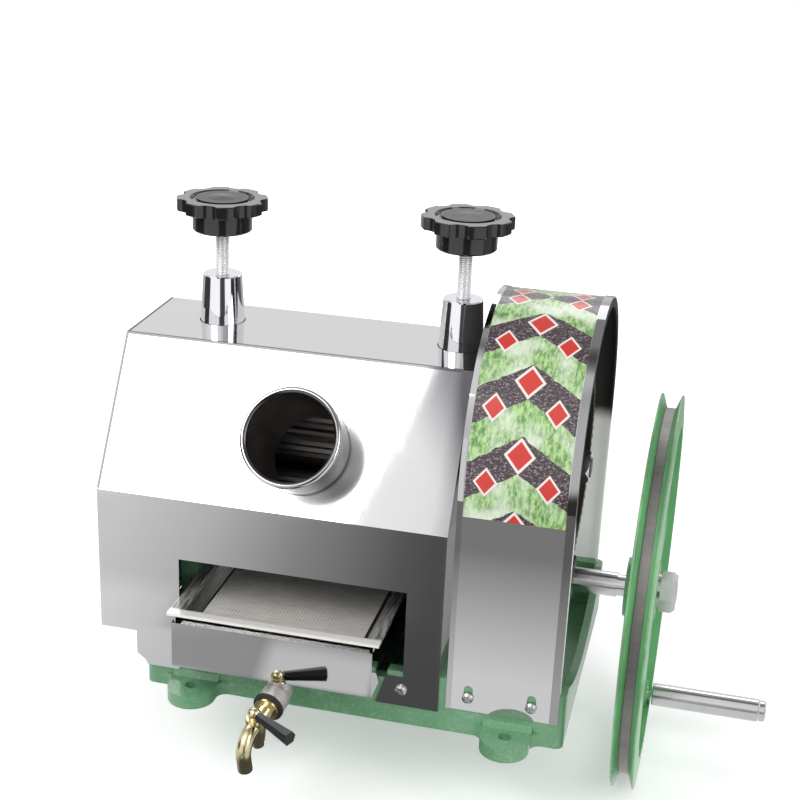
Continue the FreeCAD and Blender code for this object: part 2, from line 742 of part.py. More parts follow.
def turner_plate():
    """Curved bridge between the lower rollers, which turns the cane up into the second nip."""
    x0, x1 = left_inner_x, right_inner_x
    top = roller_radius + roller_pitch_gap
    shell = ring_x(top + turner_thickness, top, x0, x1, 0, top_roller_z)
    bar = shell.common(box(x0, x1, -turner_half, turner_half, lower_roller_z,
                           top_roller_z - top + turner_thickness + 3))
    bar = bar.fuse(box(x0, x1, -turner_web / 2, turner_web / 2, lower_roller_z - turner_foot,
                       top_roller_z - top - turner_thickness / 2))
    for side in (-1, 1):
        bar = bar.cut(rod_x(roller_radius + free_gap, x0 - 1, x1 + 1, side * lower_roller_half,
                            lower_roller_z))
    return bar.removeSplitter()


def discharge_chute():
    """Sloping sheet that leads the crushed cane out at the rear; its side edges lie on the frames."""
    start_y = lower_roller_half + roller_radius + 6
    end_y = skin_rear + chute_reach
    start_z = lower_roller_z - 2
    end_z = outlet_bottom_z + 5
    points = [(start_y, start_z), (end_y, end_z), (end_y, end_z + chute_sheet),
              (start_y, start_z + chute_sheet)]
    chute = plate_x(points, left_inner_x, right_inner_x)
    ear_y = start_y - 20
    edge = [(ear_y, start_z - 10), (start_y, start_z - 6), (start_y, start_z), (end_y, end_z),
            (end_y, end_z + chute_edge), (start_y, start_z + chute_edge), (ear_y, start_z + chute_edge / 2)]
    chute = chute.fuse(plate_x(edge, left_inner_x, left_inner_x + chute_sheet))
    return chute.fuse(plate_x(edge, right_inner_x - chute_sheet, right_inner_x)).removeSplitter()


# gears and the drive shaft

def roller_gear(y, z, first_tooth):
    x0 = roller_gear_x
    x1 = roller_gear_x + roller_gear_width
    gear = involute_gear(roller_gear_module, roller_gear_teeth, x0, x1, roller_gear_backlash, first_tooth,
                         y, z)
    return gear.cut(rod_x(gear_seat_radius + press_gap, x0 - 1, x1 + 1, y, z))


def lower_gear_first(side):
    toward = math.atan2(lower_roller_z - top_roller_z, side * lower_roller_half)
    return facing_tooth(toward, top_gear_first, roller_gear_teeth, roller_gear_teeth)


def big_gear():
    x0 = gear_face_x - gear_width
    first = math.pi / 2 * 3 + math.pi / gear_teeth
    gear = involute_gear(gear_module, gear_teeth, x0, gear_face_x, gear_backlash, first, 0, top_roller_z)
    rim_radius = gear_module * gear_teeth / 2 - gear_rim
    recess = (gear_width - gear_web) / 2
    for side_x in (x0 - 1, gear_face_x - recess):
        gear = gear.cut(ring_x(rim_radius, gear_hub_radius, side_x, side_x + recess + 1, 0, top_roller_z))
    gear = gear.fuse(ring_x(gear_hub_radius, gear_seat_radius + press_gap, gear_hub_x, gear_face_x, 0,
                            top_roller_z))
    window_radius = (rim_radius - gear_hub_radius) / 2 - gear_window_margin
    window_place = (rim_radius + gear_hub_radius) / 2
    for k in range(gear_window_count):
        angle = 2 * math.pi * k / gear_window_count
        gear = gear.cut(rod_x(window_radius, x0, gear_face_x, window_place * math.cos(angle),
                              top_roller_z + window_place * math.sin(angle)))
    gear = gear.cut(rod_x(gear_seat_radius + press_gap, gear_hub_x - 1, gear_face_x + 1, 0, top_roller_z))
    return gear.cut(keyway_x(gear_hub_x - 1, gear_face_x + 1, gear_seat_radius, 0, top_roller_z))


def shaft_nut(across_flats, x0, x1, z):
    return hex_x(across_flats, x0, x1, 0, z).cut(rod_x(nut_thread_radius + press_gap, x0 - 1, x1 + 1, 0, z))


def drive_shaft():
    left_end = housing_inner_x - shaft_tail
    thread_end = wheel_hub_end + washer_thickness + nut_thickness + thread_tail
    points = [(left_end, 0), (left_end, shaft_seat_radius - 1), (left_end + 1, shaft_seat_radius),
              (pinion_shoulder_x, shaft_seat_radius), (pinion_shoulder_x, shaft_radius),
              (wheel_shoulder_x, shaft_radius), (wheel_shoulder_x, shaft_seat_radius),
              (wheel_hub_end - 1, shaft_seat_radius), (wheel_hub_end - 1, nut_thread_radius),
              (thread_end - 1.5, nut_thread_radius), (thread_end, nut_thread_radius - 1.5), (thread_end, 0)]
    shaft = turned_x(points, 0, drive_z)
    shaft = shaft.cut(keyway_x(pinion_left_x, pinion_shoulder_x, shaft_seat_radius, 0, drive_z))
    return shaft.cut(keyway_x(wheel_hub_x, wheel_hub_end - 4, shaft_seat_radius, 0, drive_z))


def pinion():
    x0 = pinion_left_x
    gear = involute_gear(gear_module, pinion_teeth, x0, pinion_shoulder_x, gear_backlash, math.pi / 2, 0,
                         drive_z)
    gear = gear.cut(rod_x(shaft_seat_radius + press_gap, x0 - 1, pinion_shoulder_x + 1, 0, drive_z))
    return gear.cut(keyway_x(x0 - 1, pinion_shoulder_x + 1, shaft_seat_radius, 0, drive_z))


def shaft_collar():
    return ring_x(shaft_seat_radius + collar_wall, shaft_seat_radius + press_gap, housing_end_x + end_gap,
                  pinion_left_x, 0, drive_z)


def drive_bushes():
    first = bush(shaft_seat_radius, housing_inner_x, housing_inner_x + drive_bush_length, 0, drive_z)
    second = bush(shaft_seat_radius, housing_end_x - drive_bush_length, housing_end_x, 0, drive_z)
    return Part.makeCompound([first, second])


# hand wheel and handle

def handle_place():
    angle = math.radians(handle_angle)
    return handle_radius * math.sin(angle), drive_z - handle_radius * math.cos(angle)


def hand_wheel():
    x0 = wheel_rim_x - wheel_rim_width / 2
    x1 = wheel_rim_x + wheel_rim_width / 2
    groove_radius = wheel_radius - groove_depth
    half_bottom = groove_bottom / 2
    taper = wheel_edge_taper
    rim = turned_x([(x0, wheel_rim_inner), (x0, groove_radius - 4), (x0 + taper, wheel_radius),
                    (x0 + taper + wheel_tip, wheel_radius), (wheel_rim_x - half_bottom, groove_radius),
                    (wheel_rim_x + half_bottom, groove_radius), (x1 - taper - wheel_tip, wheel_radius),
                    (x1 - taper, wheel_radius), (x1, groove_radius - 4), (x1, wheel_rim_inner)], 0, drive_z)
    hub = rod_x(wheel_hub_radius, wheel_hub_x, wheel_hub_end, 0, drive_z)
    s0 = wheel_rim_x - spoke_thickness / 2
    s1 = wheel_rim_x + spoke_thickness / 2
    spokes = []
    handle_y, handle_z = handle_place()
    for k in range(spoke_count):
        angle = math.radians(handle_angle - 90) + 2 * math.pi * k / spoke_count
        arm = plate_x([(wheel_hub_radius - 4, -spoke_root / 2), (wheel_rim_inner + 4, -spoke_tip / 2),
                       (wheel_rim_inner + 4, spoke_tip / 2), (wheel_hub_radius - 4, spoke_root / 2)], s0, s1)
        arm = arm.makeFillet(spoke_rounding, edges_along_length(arm))
        arm.rotate(Vector(0, 0, 0), Vector(1, 0, 0), math.degrees(angle))
        arm.translate(Vector(0, 0, drive_z))
        spokes.append(arm)
    wheel = rim.fuse([hub] + spokes)
    wheel = wheel.fuse(rod_x(handle_boss_radius, s0, wheel_hub_end, handle_y, handle_z))
    wheel = wheel.cut(rod_x(spindle_radius + press_gap, s0 - 1, wheel_hub_end + 1, handle_y, handle_z))
    wheel = wheel.cut(rod_x(shaft_seat_radius + press_gap, wheel_hub_x - 1, wheel_hub_end + 1, 0, drive_z))
    wheel = wheel.cut(keyway_x(wheel_hub_x - 1, wheel_hub_end + 1, shaft_seat_radius, 0, drive_z))
    return wheel.cut(rod_z(set_screw_radius + press_gap, drive_z - wheel_hub_radius - 1,
                           drive_z - shaft_seat_radius,
                           set_screw_x, 0))


def edges_along_length(arm):
    """The four long edges of a spoke that runs along Y."""
    length = wheel_rim_inner - wheel_hub_radius
    return [edge for edge in arm.Edges
            if abs(edge.Vertexes[0].Point.y - edge.Vertexes[1].Point.y) > length / 2]


def set_screw():
    top = drive_z - shaft_seat_radius - press_gap
    low = drive_z - wheel_hub_radius - set_screw_head / 2
    stud = rod_z(set_screw_radius, low, top, set_screw_x, 0)
    return stud.fuse(hex_z(set_screw_head, low, drive_z - wheel_hub_radius, set_screw_x, 0))


def wheel_washer():
    x0 = wheel_hub_end
    return ring_x(washer_radius, nut_thread_radius + sheet_gap, x0, x0 + washer_thickness, 0, drive_z)


def handle_spindle():
    y, z = handle_place()
    x0 = spindle_start_x - spindle_nut_thickness - 1
    collar_end = wheel_hub_end + spindle_collar
    sleeve_end = collar_end + sleeve_length + 2 * end_gap
    cap_end = collar_end + sleeve_length + handle_cap_length - 2
    points = [(x0, 0), (x0, spindle_radius - 1), (spindle_start_x - 0.1, spindle_radius - 1),
              (spindle_start_x - 0.1, spindle_radius),
              (wheel_hub_end, spindle_radius), (wheel_hub_end, spindle_collar_radius),
              (collar_end, spindle_collar_radius), (collar_end, spindle_radius),
              (sleeve_end, spindle_radius), (sleeve_end, spindle_radius - 2),
              (cap_end, spindle_radius - 2), (cap_end, 0)]
    return turned_x(points, y, z)


def spindle_nut():
    y, z = handle_place()
    x1 = spindle_start_x - 0.1
    nut = hex_x(spindle_nut_flats, x1 - spindle_nut_thickness, x1, y, z)
    return nut.cut(rod_x(spindle_radius - 1 + press_gap, x1 - spindle_nut_thickness - 1, x1 + 1, y, z))


def handle_sleeve():
    y, z = handle_place()
    x0 = wheel_hub_end + spindle_collar + end_gap
    x1 = x0 + sleeve_length - end_gap
    body = turned_x([(x0, 0), (x0, sleeve_radius - 1.2), (x0 + 1.2, sleeve_radius), (x1 - 1.2, sleeve_radius),
                     (x1, sleeve_radius - 1.2), (x1, 0)], y, z)
    return body.cut(rod_x(spindle_radius + running_gap, x0 - 1, x1 + 1, y, z))


def handle_cap():
    y, z = handle_place()
    x0 = wheel_hub_end + spindle_collar + sleeve_length + 2 * end_gap
    x1 = x0 + handle_cap_length - 2 * end_gap
    body = turned_x([(x0, 0), (x0, sleeve_radius - 1), (x1 - 1.5, sleeve_radius - 1),
                     (x1, sleeve_radius - 2.5),
                     (x1, 0)], y, z)
    return body.cut(rod_x(spindle_radius - 2 + press_gap, x0 - 1, x1 - 2, y, z))


# pressure screws

def cone_bush(frame_x):
    points = [(screw_radius + running_gap, cap_top_z), (cone_seat_radius - 1.5, cap_top_z),
              (cone_seat_radius, cap_top_z + cone_foot), (cone_seat_radius, casing_top_z - 8),
              (cone_top_radius, cone_top_z - 1), (cone_top_radius - 1, cone_top_z),
              (screw_radius + running_gap, cone_top_z)]
    return turned_z(points, frame_x, 0)


def thrust_pad(frame_x, rise):
    """Turned pad that takes the screw's point, so that the screw can turn on it."""
    low = pad_bottom_z + rise
    top = low + pad_thickness
    floor = top - pad_recess
    bore = screw_point_radius + point_gap
    return turned_z([(0, low), (pad_radius - pad_chamfer, low), (pad_radius, low + pad_chamfer),
                     (pad_radius, top), (bore, top), (bore, floor), (0, floor)], frame_x, 0)


def pressure_screw(frame_x, rise):
    shoulder = pad_bottom_z + rise + pad_thickness + point_gap
    low = shoulder - pad_recess
    top = knob_bottom_z + rise + knob_hub_height
    point = screw_point_radius
    points = [(0, low), (point, low), (point, shoulder), (screw_radius - 1, shoulder),
              (screw_radius, shoulder + 1),
              (screw_radius, top - 1), (screw_radius - 1, top), (0, top)]
    return turned_z(points, frame_x, 0)


def star_knob(frame_x, rise):
    """Lobed grip on a round hub, with a ring groove round a low dome on top."""
    low = knob_bottom_z + rise
    rim_z = low + knob_hub_height
    top_z = rim_z + knob_rim_height
    edge = knob_edge
    rim = turned_z([(0, rim_z), (knob_rim_radius - edge, rim_z), (knob_rim_radius, rim_z + edge),
                    (knob_rim_radius, top_z - edge), (knob_rim_radius - edge, top_z), (0, top_z)], frame_x, 0)
    scallop_place = knob_rim_radius + knob_scallop_radius * 0.52
    for k in range(knob_lobes):
        angle = 2 * math.pi * k / knob_lobes
        rim = rim.cut(rod_z(knob_scallop_radius, rim_z - 1, top_z + 1,
                            frame_x + scallop_place * math.cos(angle),
                            scallop_place * math.sin(angle)))
    groove = knob_rim_radius - knob_groove_inset
    dome = groove - knob_groove_width
    floor = top_z - knob_groove_depth
    rim = rim.cut(turned_z([(dome, floor), (groove - 2, floor), (groove, top_z), (groove, top_z + 1),
                            (dome, top_z + 1)], frame_x, 0))
    rim = rim.fuse(turned_z([(0, floor - 1), (dome, floor - 1), (dome, top_z - knob_dome_edge),
                             (dome * 0.6, top_z), (0, top_z + knob_dome_rise)], frame_x, 0))
    chamfer = knob_hub_chamfer
    hub = turned_z([(0, low), (knob_hub_radius - chamfer, low), (knob_hub_radius, low + chamfer),
                    (knob_hub_radius, rim_z + 1), (0, rim_z + 1)], frame_x, 0)
    knob = rim.fuse(hub)
    return knob.cut(rod_z(screw_radius + press_gap, low - 1, low + knob_hub_height + 0.1, frame_x,
                          0)).removeSplitter()


# casing, feed tube and gear cover

def casing_outline(inset, bottom):
    """Outline of the folded casing in (y, z); inset moves every wall inwards."""
    slope = math.atan2(casing_top_z - casing_fold_z, casing_slope_run)
    rear_run = skin_rear - casing_top_rear_y
    rear_slope = math.atan2(casing_top_z - casing_fold_z, rear_run)
    front_shift = inset * math.tan((math.pi / 2 - slope) / 2)
    rear_shift = inset * math.tan((math.pi / 2 - rear_slope) / 2)
    top_front_shift = inset * math.tan(slope / 2)
    top_rear_shift = inset * math.tan(rear_slope / 2)
    return [(skin_front + inset, bottom), (skin_front + inset, casing_fold_z - front_shift),
            (casing_slope_top_y + top_front_shift, casing_top_z - inset),
            (casing_top_rear_y - top_rear_shift, casing_top_z - inset),
            (skin_rear - inset, casing_fold_z - rear_shift), (skin_rear - inset, bottom)]


def tube_frame():
    """Centre of the feed tube on the sloping panel, and the panel's outward normal."""
    rise = casing_top_z - casing_fold_z
    length = math.hypot(rise, casing_slope_run)
    centre = Vector(bay_centre_x, skin_front + tube_up_slope * casing_slope_run,
                    casing_fold_z + tube_up_slope * rise)
    normal = Vector(0, -rise / length, casing_slope_run / length)
    return centre, normal


def roller_casing():
    shell = plate_x(casing_outline(0, casing_front_z), casing_left_x, casing_right_x)
    shell = shell.cut(plate_x(casing_outline(sheet, casing_front_z - 1), casing_left_x + sheet,
                              casing_right_x - sheet))
    corner = [(casing_left_x - 1, casing_front_z - 1), (casing_notch_x + 12, casing_front_z - 1),
              (casing_notch_x + 9, casing_front_z + 5), (casing_notch_x, casing_front_z + 12),
              (casing_notch_x, base_wall_height), (casing_left_x - 1, base_wall_height)]
    shell = shell.cut(plate_y(corner, skin_front - 1, skin_rear + 1))
    shell = shell.cut(box(casing_right_x - sheet - 0.5, casing_right_x + 1, base_front, base_rear,
                          casing_front_z - 1, base_wall_height))
    shell = shell.fuse(box(casing_left_x, base_left_x - 0.5, skin_front, skin_rear,
                           base_wall_height, base_wall_height + sheet))
    door = [(opening_left_x, casing_front_z - 1), (opening_left_x, opening_top_z),
            (opening_right_x, opening_top_z),
            (opening_right_x, opening_step_z), (opening_step_x, opening_step_z),
            (opening_foot_x, casing_front_z - 1)]
    shell = shell.cut(plate_y(door, skin_front - 1, base_front + 1))
    shell = shell.cut(box(left_inner_x - 2, right_inner_x + 2, base_rear - 1, skin_rear + 1,
                          outlet_bottom_z, outlet_top_z))
    centre, normal = tube_frame()
    shell = shell.cut(Part.makeCylinder(tube_radius + sheet_gap, 40, centre - normal * 20, normal))
    for frame_x in (left_frame_x, right_frame_x):
        shell = shell.cut(rod_z(cone_seat_radius + sheet_gap, casing_top_z - 5, casing_top_z + 1, frame_x, 0))
    wall_x = casing_right_x - sheet - 1
    shell = shell.cut(rod_x(housing_radius + 0.5, wall_x, casing_right_x + 1, 0, drive_z))
    shell = shell.cut(shaft_slot(wall_x, casing_right_x + 1))
    shell = shell.cut(casing_screw_holes(screw_shank_radius + sheet_gap, 4))
    return shell.removeSplitter()


def shaft_slot(x0, x1):
    """Upright slot that leaves the top roller's shaft room to rise."""
    radius = journal_radius + free_gap
    slot = rod_x(radius, x0, x1, 0, top_roller_z)
    slot = slot.fuse(rod_x(radius, x0, x1, 0, top_roller_z + roller_lift))
    return slot.fuse(box(x0, x1, -radius, radius, top_roller_z, top_roller_z + roller_lift))


def casing_screw_places():
    """One screw at the front right, since the opening takes the rest of the front, and two at the rear."""
    right = opening_right_x - 1.5
    return [(right, -1), (casing_left_x + casing_screw_inset, 1), (right, 1)]


def casing_screw_holes(radius, depth):
    holes = []
    for x, side in casing_screw_places():
        low, high = sorted((side * (base_depth / 2 - depth), side * (base_depth / 2 + sheet + 1)))
        holes.append(rod_y(radius, low, high, x, casing_screw_z))
    return Part.makeCompound(holes)


def pan_screw(x, side, z):
    """M6 pan-head screw that holds a sheet to the base's front (-1) or rear (+1) face."""
    face = side * (base_depth / 2 + sheet)
    head = turned_z([(0, 0), (screw_head_radius, 0), (screw_head_radius, screw_head_height * 0.5),
                     (screw_head_radius * 0.62, screw_head_height), (0, screw_head_height)])
    head = head.cut(box(-0.7, 0.7, -3.4, 3.4, screw_head_height - 1.3, screw_head_height + 1))
    head = head.cut(box(-3.4, 3.4, -0.7, 0.7, screw_head_height - 1.3, screw_head_height + 1))
    screw = head.fuse(rod_z(screw_shank_radius, -screw_length, 0.5))
    screw.rotate(Vector(0, 0, 0), Vector(1, 0, 0), -side * 90)
    screw.translate(Vector(x, face, z))
    return screw


def casing_screws():
    return Part.makeCompound([pan_screw(x, side, casing_screw_z) for x, side in casing_screw_places()])


def feed_tube():
    """Rolled tube across the sloping panel, with a bead at its mouth and a spot-welded flange inside."""
    inner = tube_radius - tube_wall
    bead_z = tube_outside - tube_rim_bead
    points = [(inner, -tube_inside), (tube_radius, -tube_inside), (tube_radius, -sheet - 2),
              (tube_radius + tube_flange, -sheet - 2), (tube_radius + tube_flange, -sheet - 0.05),
              (tube_radius, -sheet - 0.05), (tube_radius, bead_z), (inner, bead_z)]
    tube = turned_z(points).fuse(Part.makeTorus(tube_radius, tube_rim_bead, Vector(0, 0, bead_z)))
    centre, normal = tube_frame()
    tube.Placement = FreeCAD.Placement(centre, FreeCAD.Rotation(Vector(0, 0, 1), normal))
    return tube


def cover_outline(inset, bottom):
    """Closed face of the cover's side view: upright walls joined by a half circle."""
    radius = skin_rear - inset
    start = Vector(0, -radius, bottom)
    left = Vector(0, -radius, cover_arc_z)
    crown = Vector(0, 0, cover_arc_z + radius)
    right = Vector(0, radius, cover_arc_z)
    end = Vector(0, radius, bottom)
    edges = [Part.makeLine(start, left), Part.Arc(left, crown, right).toShape(), Part.makeLine(right, end),
             Part.makeLine(end, start)]
    return Part.Face(Part.Wire(edges))


def cover_solid(inset, bottom, x0, x1):
    face = cover_outline(inset, bottom)
    face.translate(Vector(x0, 0, 0))
    return face.extrude(Vector(x1 - x0, 0, 0))


def gear_cover():
    low = cover_bottom_z
    band = cover_solid(0, low, cover_left_x, cover_right_x)
    for x0, x1 in ((cover_left_x, cover_left_x + cover_inner_hem),
                   (cover_right_x - cover_hem, cover_right_x)):
        band = band.fuse(cover_solid(-cover_hem_rise, low, x0, x1))
    band = band.cut(cover_solid(sheet, low - 1, cover_left_x - 1, cover_right_x + 1))
    inside_low = base_wall_height + slide_gap
    back = cover_solid(sheet / 2, inside_low, cover_left_x, cover_left_x + sheet)
    lip = cover_solid(sheet / 2, inside_low, cover_right_x - sheet, cover_right_x)
    lip = lip.cut(cover_solid(sheet + cover_lip, inside_low - 1, cover_right_x - sheet - 1,
                              cover_right_x + 1))
    cover = band.fuse([back, lip])
    cover = cover.cut(rod_x(housing_radius + 0.5, cover_left_x - 1, cover_left_x + sheet + 1, 0, drive_z))
    cover = cover.cut(shaft_slot(cover_left_x - 1, cover_left_x + sheet + 1))
    half = cover_slot_width / 2
    for x in cover_slot_places():
        for side in (-1, 1):
            a, b = sorted((side * (base_depth / 2 - 1), side * (base_depth / 2 + sheet + cover_hem_rise + 1)))
            slot = rod_y(half, a, b, x, cover_slot_top_z - half).fuse(rod_y(half, a, b, x, cover_screw_z))
            slot = slot.fuse(box(x - half, x + half, a, b, cover_screw_z, cover_slot_top_z - half))
            cover = cover.cut(slot)
    return cover.removeSplitter()


def cover_slot_places():
    middle = (cover_left_x + cover_right_x) / 2 - cover_slot_shift
    return [middle - cover_slot_spacing / 2, middle + cover_slot_spacing / 2]


def cover_screw_holes(radius, depth):
    holes = []
    for x in cover_slot_places():
        for side in (-1, 1):
            low, high = sorted((side * (base_depth / 2 - depth), side * (base_depth / 2 + 3)))
            holes.append(rod_y(radius, low, high, x, cover_screw_z))
    return Part.makeCompound(holes)


def gear_cover_screws():
    return Part.makeCompound([pan_screw(x, side, cover_screw_z)
                              for x in cover_slot_places() for side in (-1, 1)])


# juice tray, sieve and tap

def juice_tray():
    t = tray_sheet
    x0, x1 = tray_left_x, tray_right_x
    y0 = tray_front_y
    y1 = tray_front_y + tray_depth
    z0 = tray_floor_z
    tray = box(x0, x1, y0, y1, z0, z0 + tray_side_height)
    tray = tray.cut(box(x0 + t, x1 - t, y0 + t, y1 - t, z0 + t, z0 + tray_side_height + 1))
    tray = tray.cut(box(x0 - 1, x1 + 1, y0 - 1, y0 + t + 1, z0 + tray_front_height,
                        z0 + tray_side_height + 1))
    fold_z = z0 + tray_front_height - t
    tray = tray.fuse(box(x0, x1, y0, y0 + tray_top_fold, fold_z, fold_z + t))
    for side_x in (x0, x1 - t):
        corner = box(side_x - 1, side_x + t + 1, y0 - 1, y0 + tray_top_fold, z0 + tray_front_height,
                     z0 + tray_side_height + 1)
        tray = tray.cut(corner)
    return tray.cut(rod_z(outlet_bore_radius, z0 - 1, z0 + t + 1, outlet_x, outlet_y)).removeSplitter()


def outlet_place(shape):
    """Swings a part made along -Y from the drop pipe into the outlet's direction."""
    pivot = Vector(outlet_x, outlet_y, outlet_z)
    shape.rotate(pivot, Vector(1, 0, 0), outlet_dip)
    shape.rotate(pivot, Vector(0, 0, 1), -outlet_turn)
    return shape


def outlet_rod(radius, near, far):
    """Cylinder on the outlet's own line, between two distances from the drop pipe, not yet swung."""
    return rod_y(radius, outlet_y - far, outlet_y - near, outlet_x, outlet_z)


def outlet_elbow():
    """Pipe that drops from the tray's floor and turns forward below the tray's front."""
    pivot = Vector(outlet_x, outlet_y, outlet_z)
    run = outlet_rod(outlet_pipe_radius, 0, outlet_reach)
    run = run.fuse(outlet_rod(outlet_socket_radius, outlet_reach - outlet_socket, outlet_reach))
    body = outlet_place(run).fuse([rod_z(outlet_pipe_radius, outlet_z, tray_floor_z, outlet_x, outlet_y),
                                   Part.makeSphere(outlet_pipe_radius, pivot)])
    body = body.cut(rod_z(outlet_bore_radius, outlet_z, tray_floor_z + 1, outlet_x, outlet_y))
    body = body.cut(Part.makeSphere(outlet_bore_radius, pivot))
    return body.cut(outlet_place(outlet_rod(outlet_bore_radius, 0, outlet_reach + 1))).removeSplitter()


def tap_washer():
    near, far = outlet_reach, outlet_reach + tap_washer_thickness
    ring = outlet_rod(tap_washer_radius, near, far).cut(outlet_rod(outlet_bore_radius, near - 1, far + 1))
    return outlet_place(ring)


def spout(radius, length):
    """Bent rod that leaves the barrel forwards and turns down in a quarter circle."""
    bend = tap_spout_bend
    start = Vector(outlet_x, outlet_y - tap_reach, outlet_z)
    turn_y = start.y - tap_spout_start
    middle = Vector(outlet_x, turn_y - bend * math.sin(math.pi / 4),
                    outlet_z - bend + bend * math.cos(math.pi / 4))
    low = Vector(outlet_x, turn_y - bend, outlet_z - bend)
    path = Part.Wire([Part.makeLine(start, Vector(outlet_x, turn_y, outlet_z)),
                      Part.Arc(Vector(outlet_x, turn_y, outlet_z), middle, low).toShape(),
                      Part.makeLine(low, Vector(outlet_x, low.y, low.z - length))])
    ring = Part.Wire([Part.makeCircle(radius, start, Vector(0, -1, 0))])
    return path.makePipeShell([ring], True, False)


def tap_body():
    """Brass tap with an upright barrel for the plug and a spout that turns down."""
    near = outlet_reach + tap_washer_thickness
    plug_y = outlet_y - tap_reach
    top = outlet_z + tap_barrel_top
    low = outlet_z - tap_barrel_bottom
    radius = tap_barrel_radius
    body = outlet_rod(tap_flange_radius, near, near + tap_flange)
    body = body.fuse(outlet_rod(tap_neck_radius, near, tap_reach))
    barrel = turned_z([(0, low), (radius - 2.5, low), (radius - 1, outlet_z - 12), (radius, outlet_z - 5),
                       (radius, top - 2.5), (radius - 1.5, top), (0, top)], outlet_x, plug_y)
    body = body.fuse([barrel, spout(tap_spout_radius, tap_spout_drop)])
    body = body.cut(spout(tap_spout_bore, tap_spout_drop + 1))
    body = body.cut(outlet_rod(tap_spout_bore, near - 1, tap_reach))
    bore = rod_z(tap_plug_radius + running_gap, low - 1, top + 1, outlet_x, plug_y)
    return outlet_place(body.cut(bore).removeSplitter())


def lever_place(shape):
    """Swings what was made along +X from the plug's axis into the lever's resting direction."""
    plug_y = outlet_y - tap_reach
    shape.translate(Vector(outlet_x, plug_y, outlet_z + tap_barrel_top + tap_ball_rise))
    shape.rotate(Vector(outlet_x, plug_y, 0), Vector(0, 0, 1), -lever_turn)
    return outlet_place(shape)


def tap_plug():
    """Tap plug with a cross passage, a slotted stub below the barrel and a ball head with the lever's pin."""
    plug_y = outlet_y - tap_reach
    low = outlet_z - tap_barrel_bottom - tap_plug_stub
    top = outlet_z + tap_barrel_top + tap_ball_rise
    plug = rod_z(tap_plug_radius, low, top, outlet_x, plug_y)
    plug = plug.cut(rod_y(tap_spout_bore - 0.5, plug_y - 20, plug_y + 20, outlet_x, outlet_z))
    plug = plug.cut(box(outlet_x - 10, outlet_x + 10, plug_y - 0.8, plug_y + 0.8, low - 1, low + 2.5))
    plug.rotate(Vector(outlet_x, plug_y, 0), Vector(0, 0, 1), 90 - lever_turn)
    head = Part.makeSphere(tap_ball_radius).fuse(rod_x(tap_pin_radius, 0, tap_pin_length))
    head = head.common(box(-20, tap_pin_length + 1, -20, 20, 0.3 - tap_ball_rise, 20))
    return outlet_place(plug).fuse(lever_place(head)).removeSplitter()


def tap_lever():
    """Six-sided grip that widens outwards, pushed on the pin of the plug's head."""
    def hexagon(x, width, thickness):
        corners = [(-0.5, 0), (-0.275, 0.5), (0.275, 0.5), (0.5, 0), (0.275, -0.5), (-0.275, -0.5)]
        points = [Vector(x, width * y, thickness * z) for y, z in corners]
        return Part.makePolygon(points + points[:1])

    start = tap_ball_radius + press_gap
    grip = Part.makeLoft([hexagon(start, lever_near_width, lever_near_thickness),
                          hexagon(lever_length, lever_far_width, lever_far_thickness)], True, True)
    return lever_place(grip.cut(rod_x(tap_pin_radius + press_gap, start - 1, tap_pin_length + press_gap)))


def sieve_frame():
    """Open frame whose flat rim is hemmed at the front and sides, with walls that slope in to the mesh."""
    t = tray_sheet
    x0 = tray_left_x - sieve_overhang
    x1 = tray_right_x + sieve_overhang
    y0 = sieve_front_y
    y1 = sieve_front_y + sieve_depth
    z1 = sieve_top_z
    z0 = z1 - sieve_drop
    inset = sieve_strip + sieve_slope

    def loop(gap, z):
        corners = [Vector(x0 + gap, y0 + gap, z), Vector(x1 - gap, y0 + gap, z),
                   Vector(x1 - gap, y1 - gap, z),
                   Vector(x0 + gap, y1 - gap, z)]
        return Part.makePolygon(corners + corners[:1])

    outer = Part.makeLoft([loop(inset, z0), loop(sieve_strip, z1)], True, True)
    inner = Part.makeLoft([loop(inset + t, z0), loop(sieve_strip + t, z1)], True, True)
    rim = box(x0, x1, y0, y1, z1 - sieve_hem, z1)
    rim = rim.cut(box(x0 + t, x1 - t, y0 + t, y1 + 1, z1 - sieve_hem - 1, z1 - t))
    frame = rim.fuse(outer)
    frame = frame.cut(inner)
    ledge = box(x0 + inset, x1 - inset, y0 + inset, y1 - inset, z0, z0 + t)
    frame = frame.fuse(ledge)
    inset += sieve_ledge
    return frame.cut(box(x0 + inset, x1 - inset, y0 + inset, y1 - inset, z0 - 1, z0 + t + 1))


def sieve_mesh():
    inset = sieve_strip + sieve_slope + 2.5
    x0 = tray_left_x - sieve_overhang + inset
    x1 = tray_right_x + sieve_overhang - inset
    y0 = sieve_front_y + inset
    y1 = sieve_front_y + sieve_depth - inset
    z0 = sieve_top_z - sieve_drop + tray_sheet
    return box(x0, x1, y0, y1, z0, z0 + mesh_thickness)


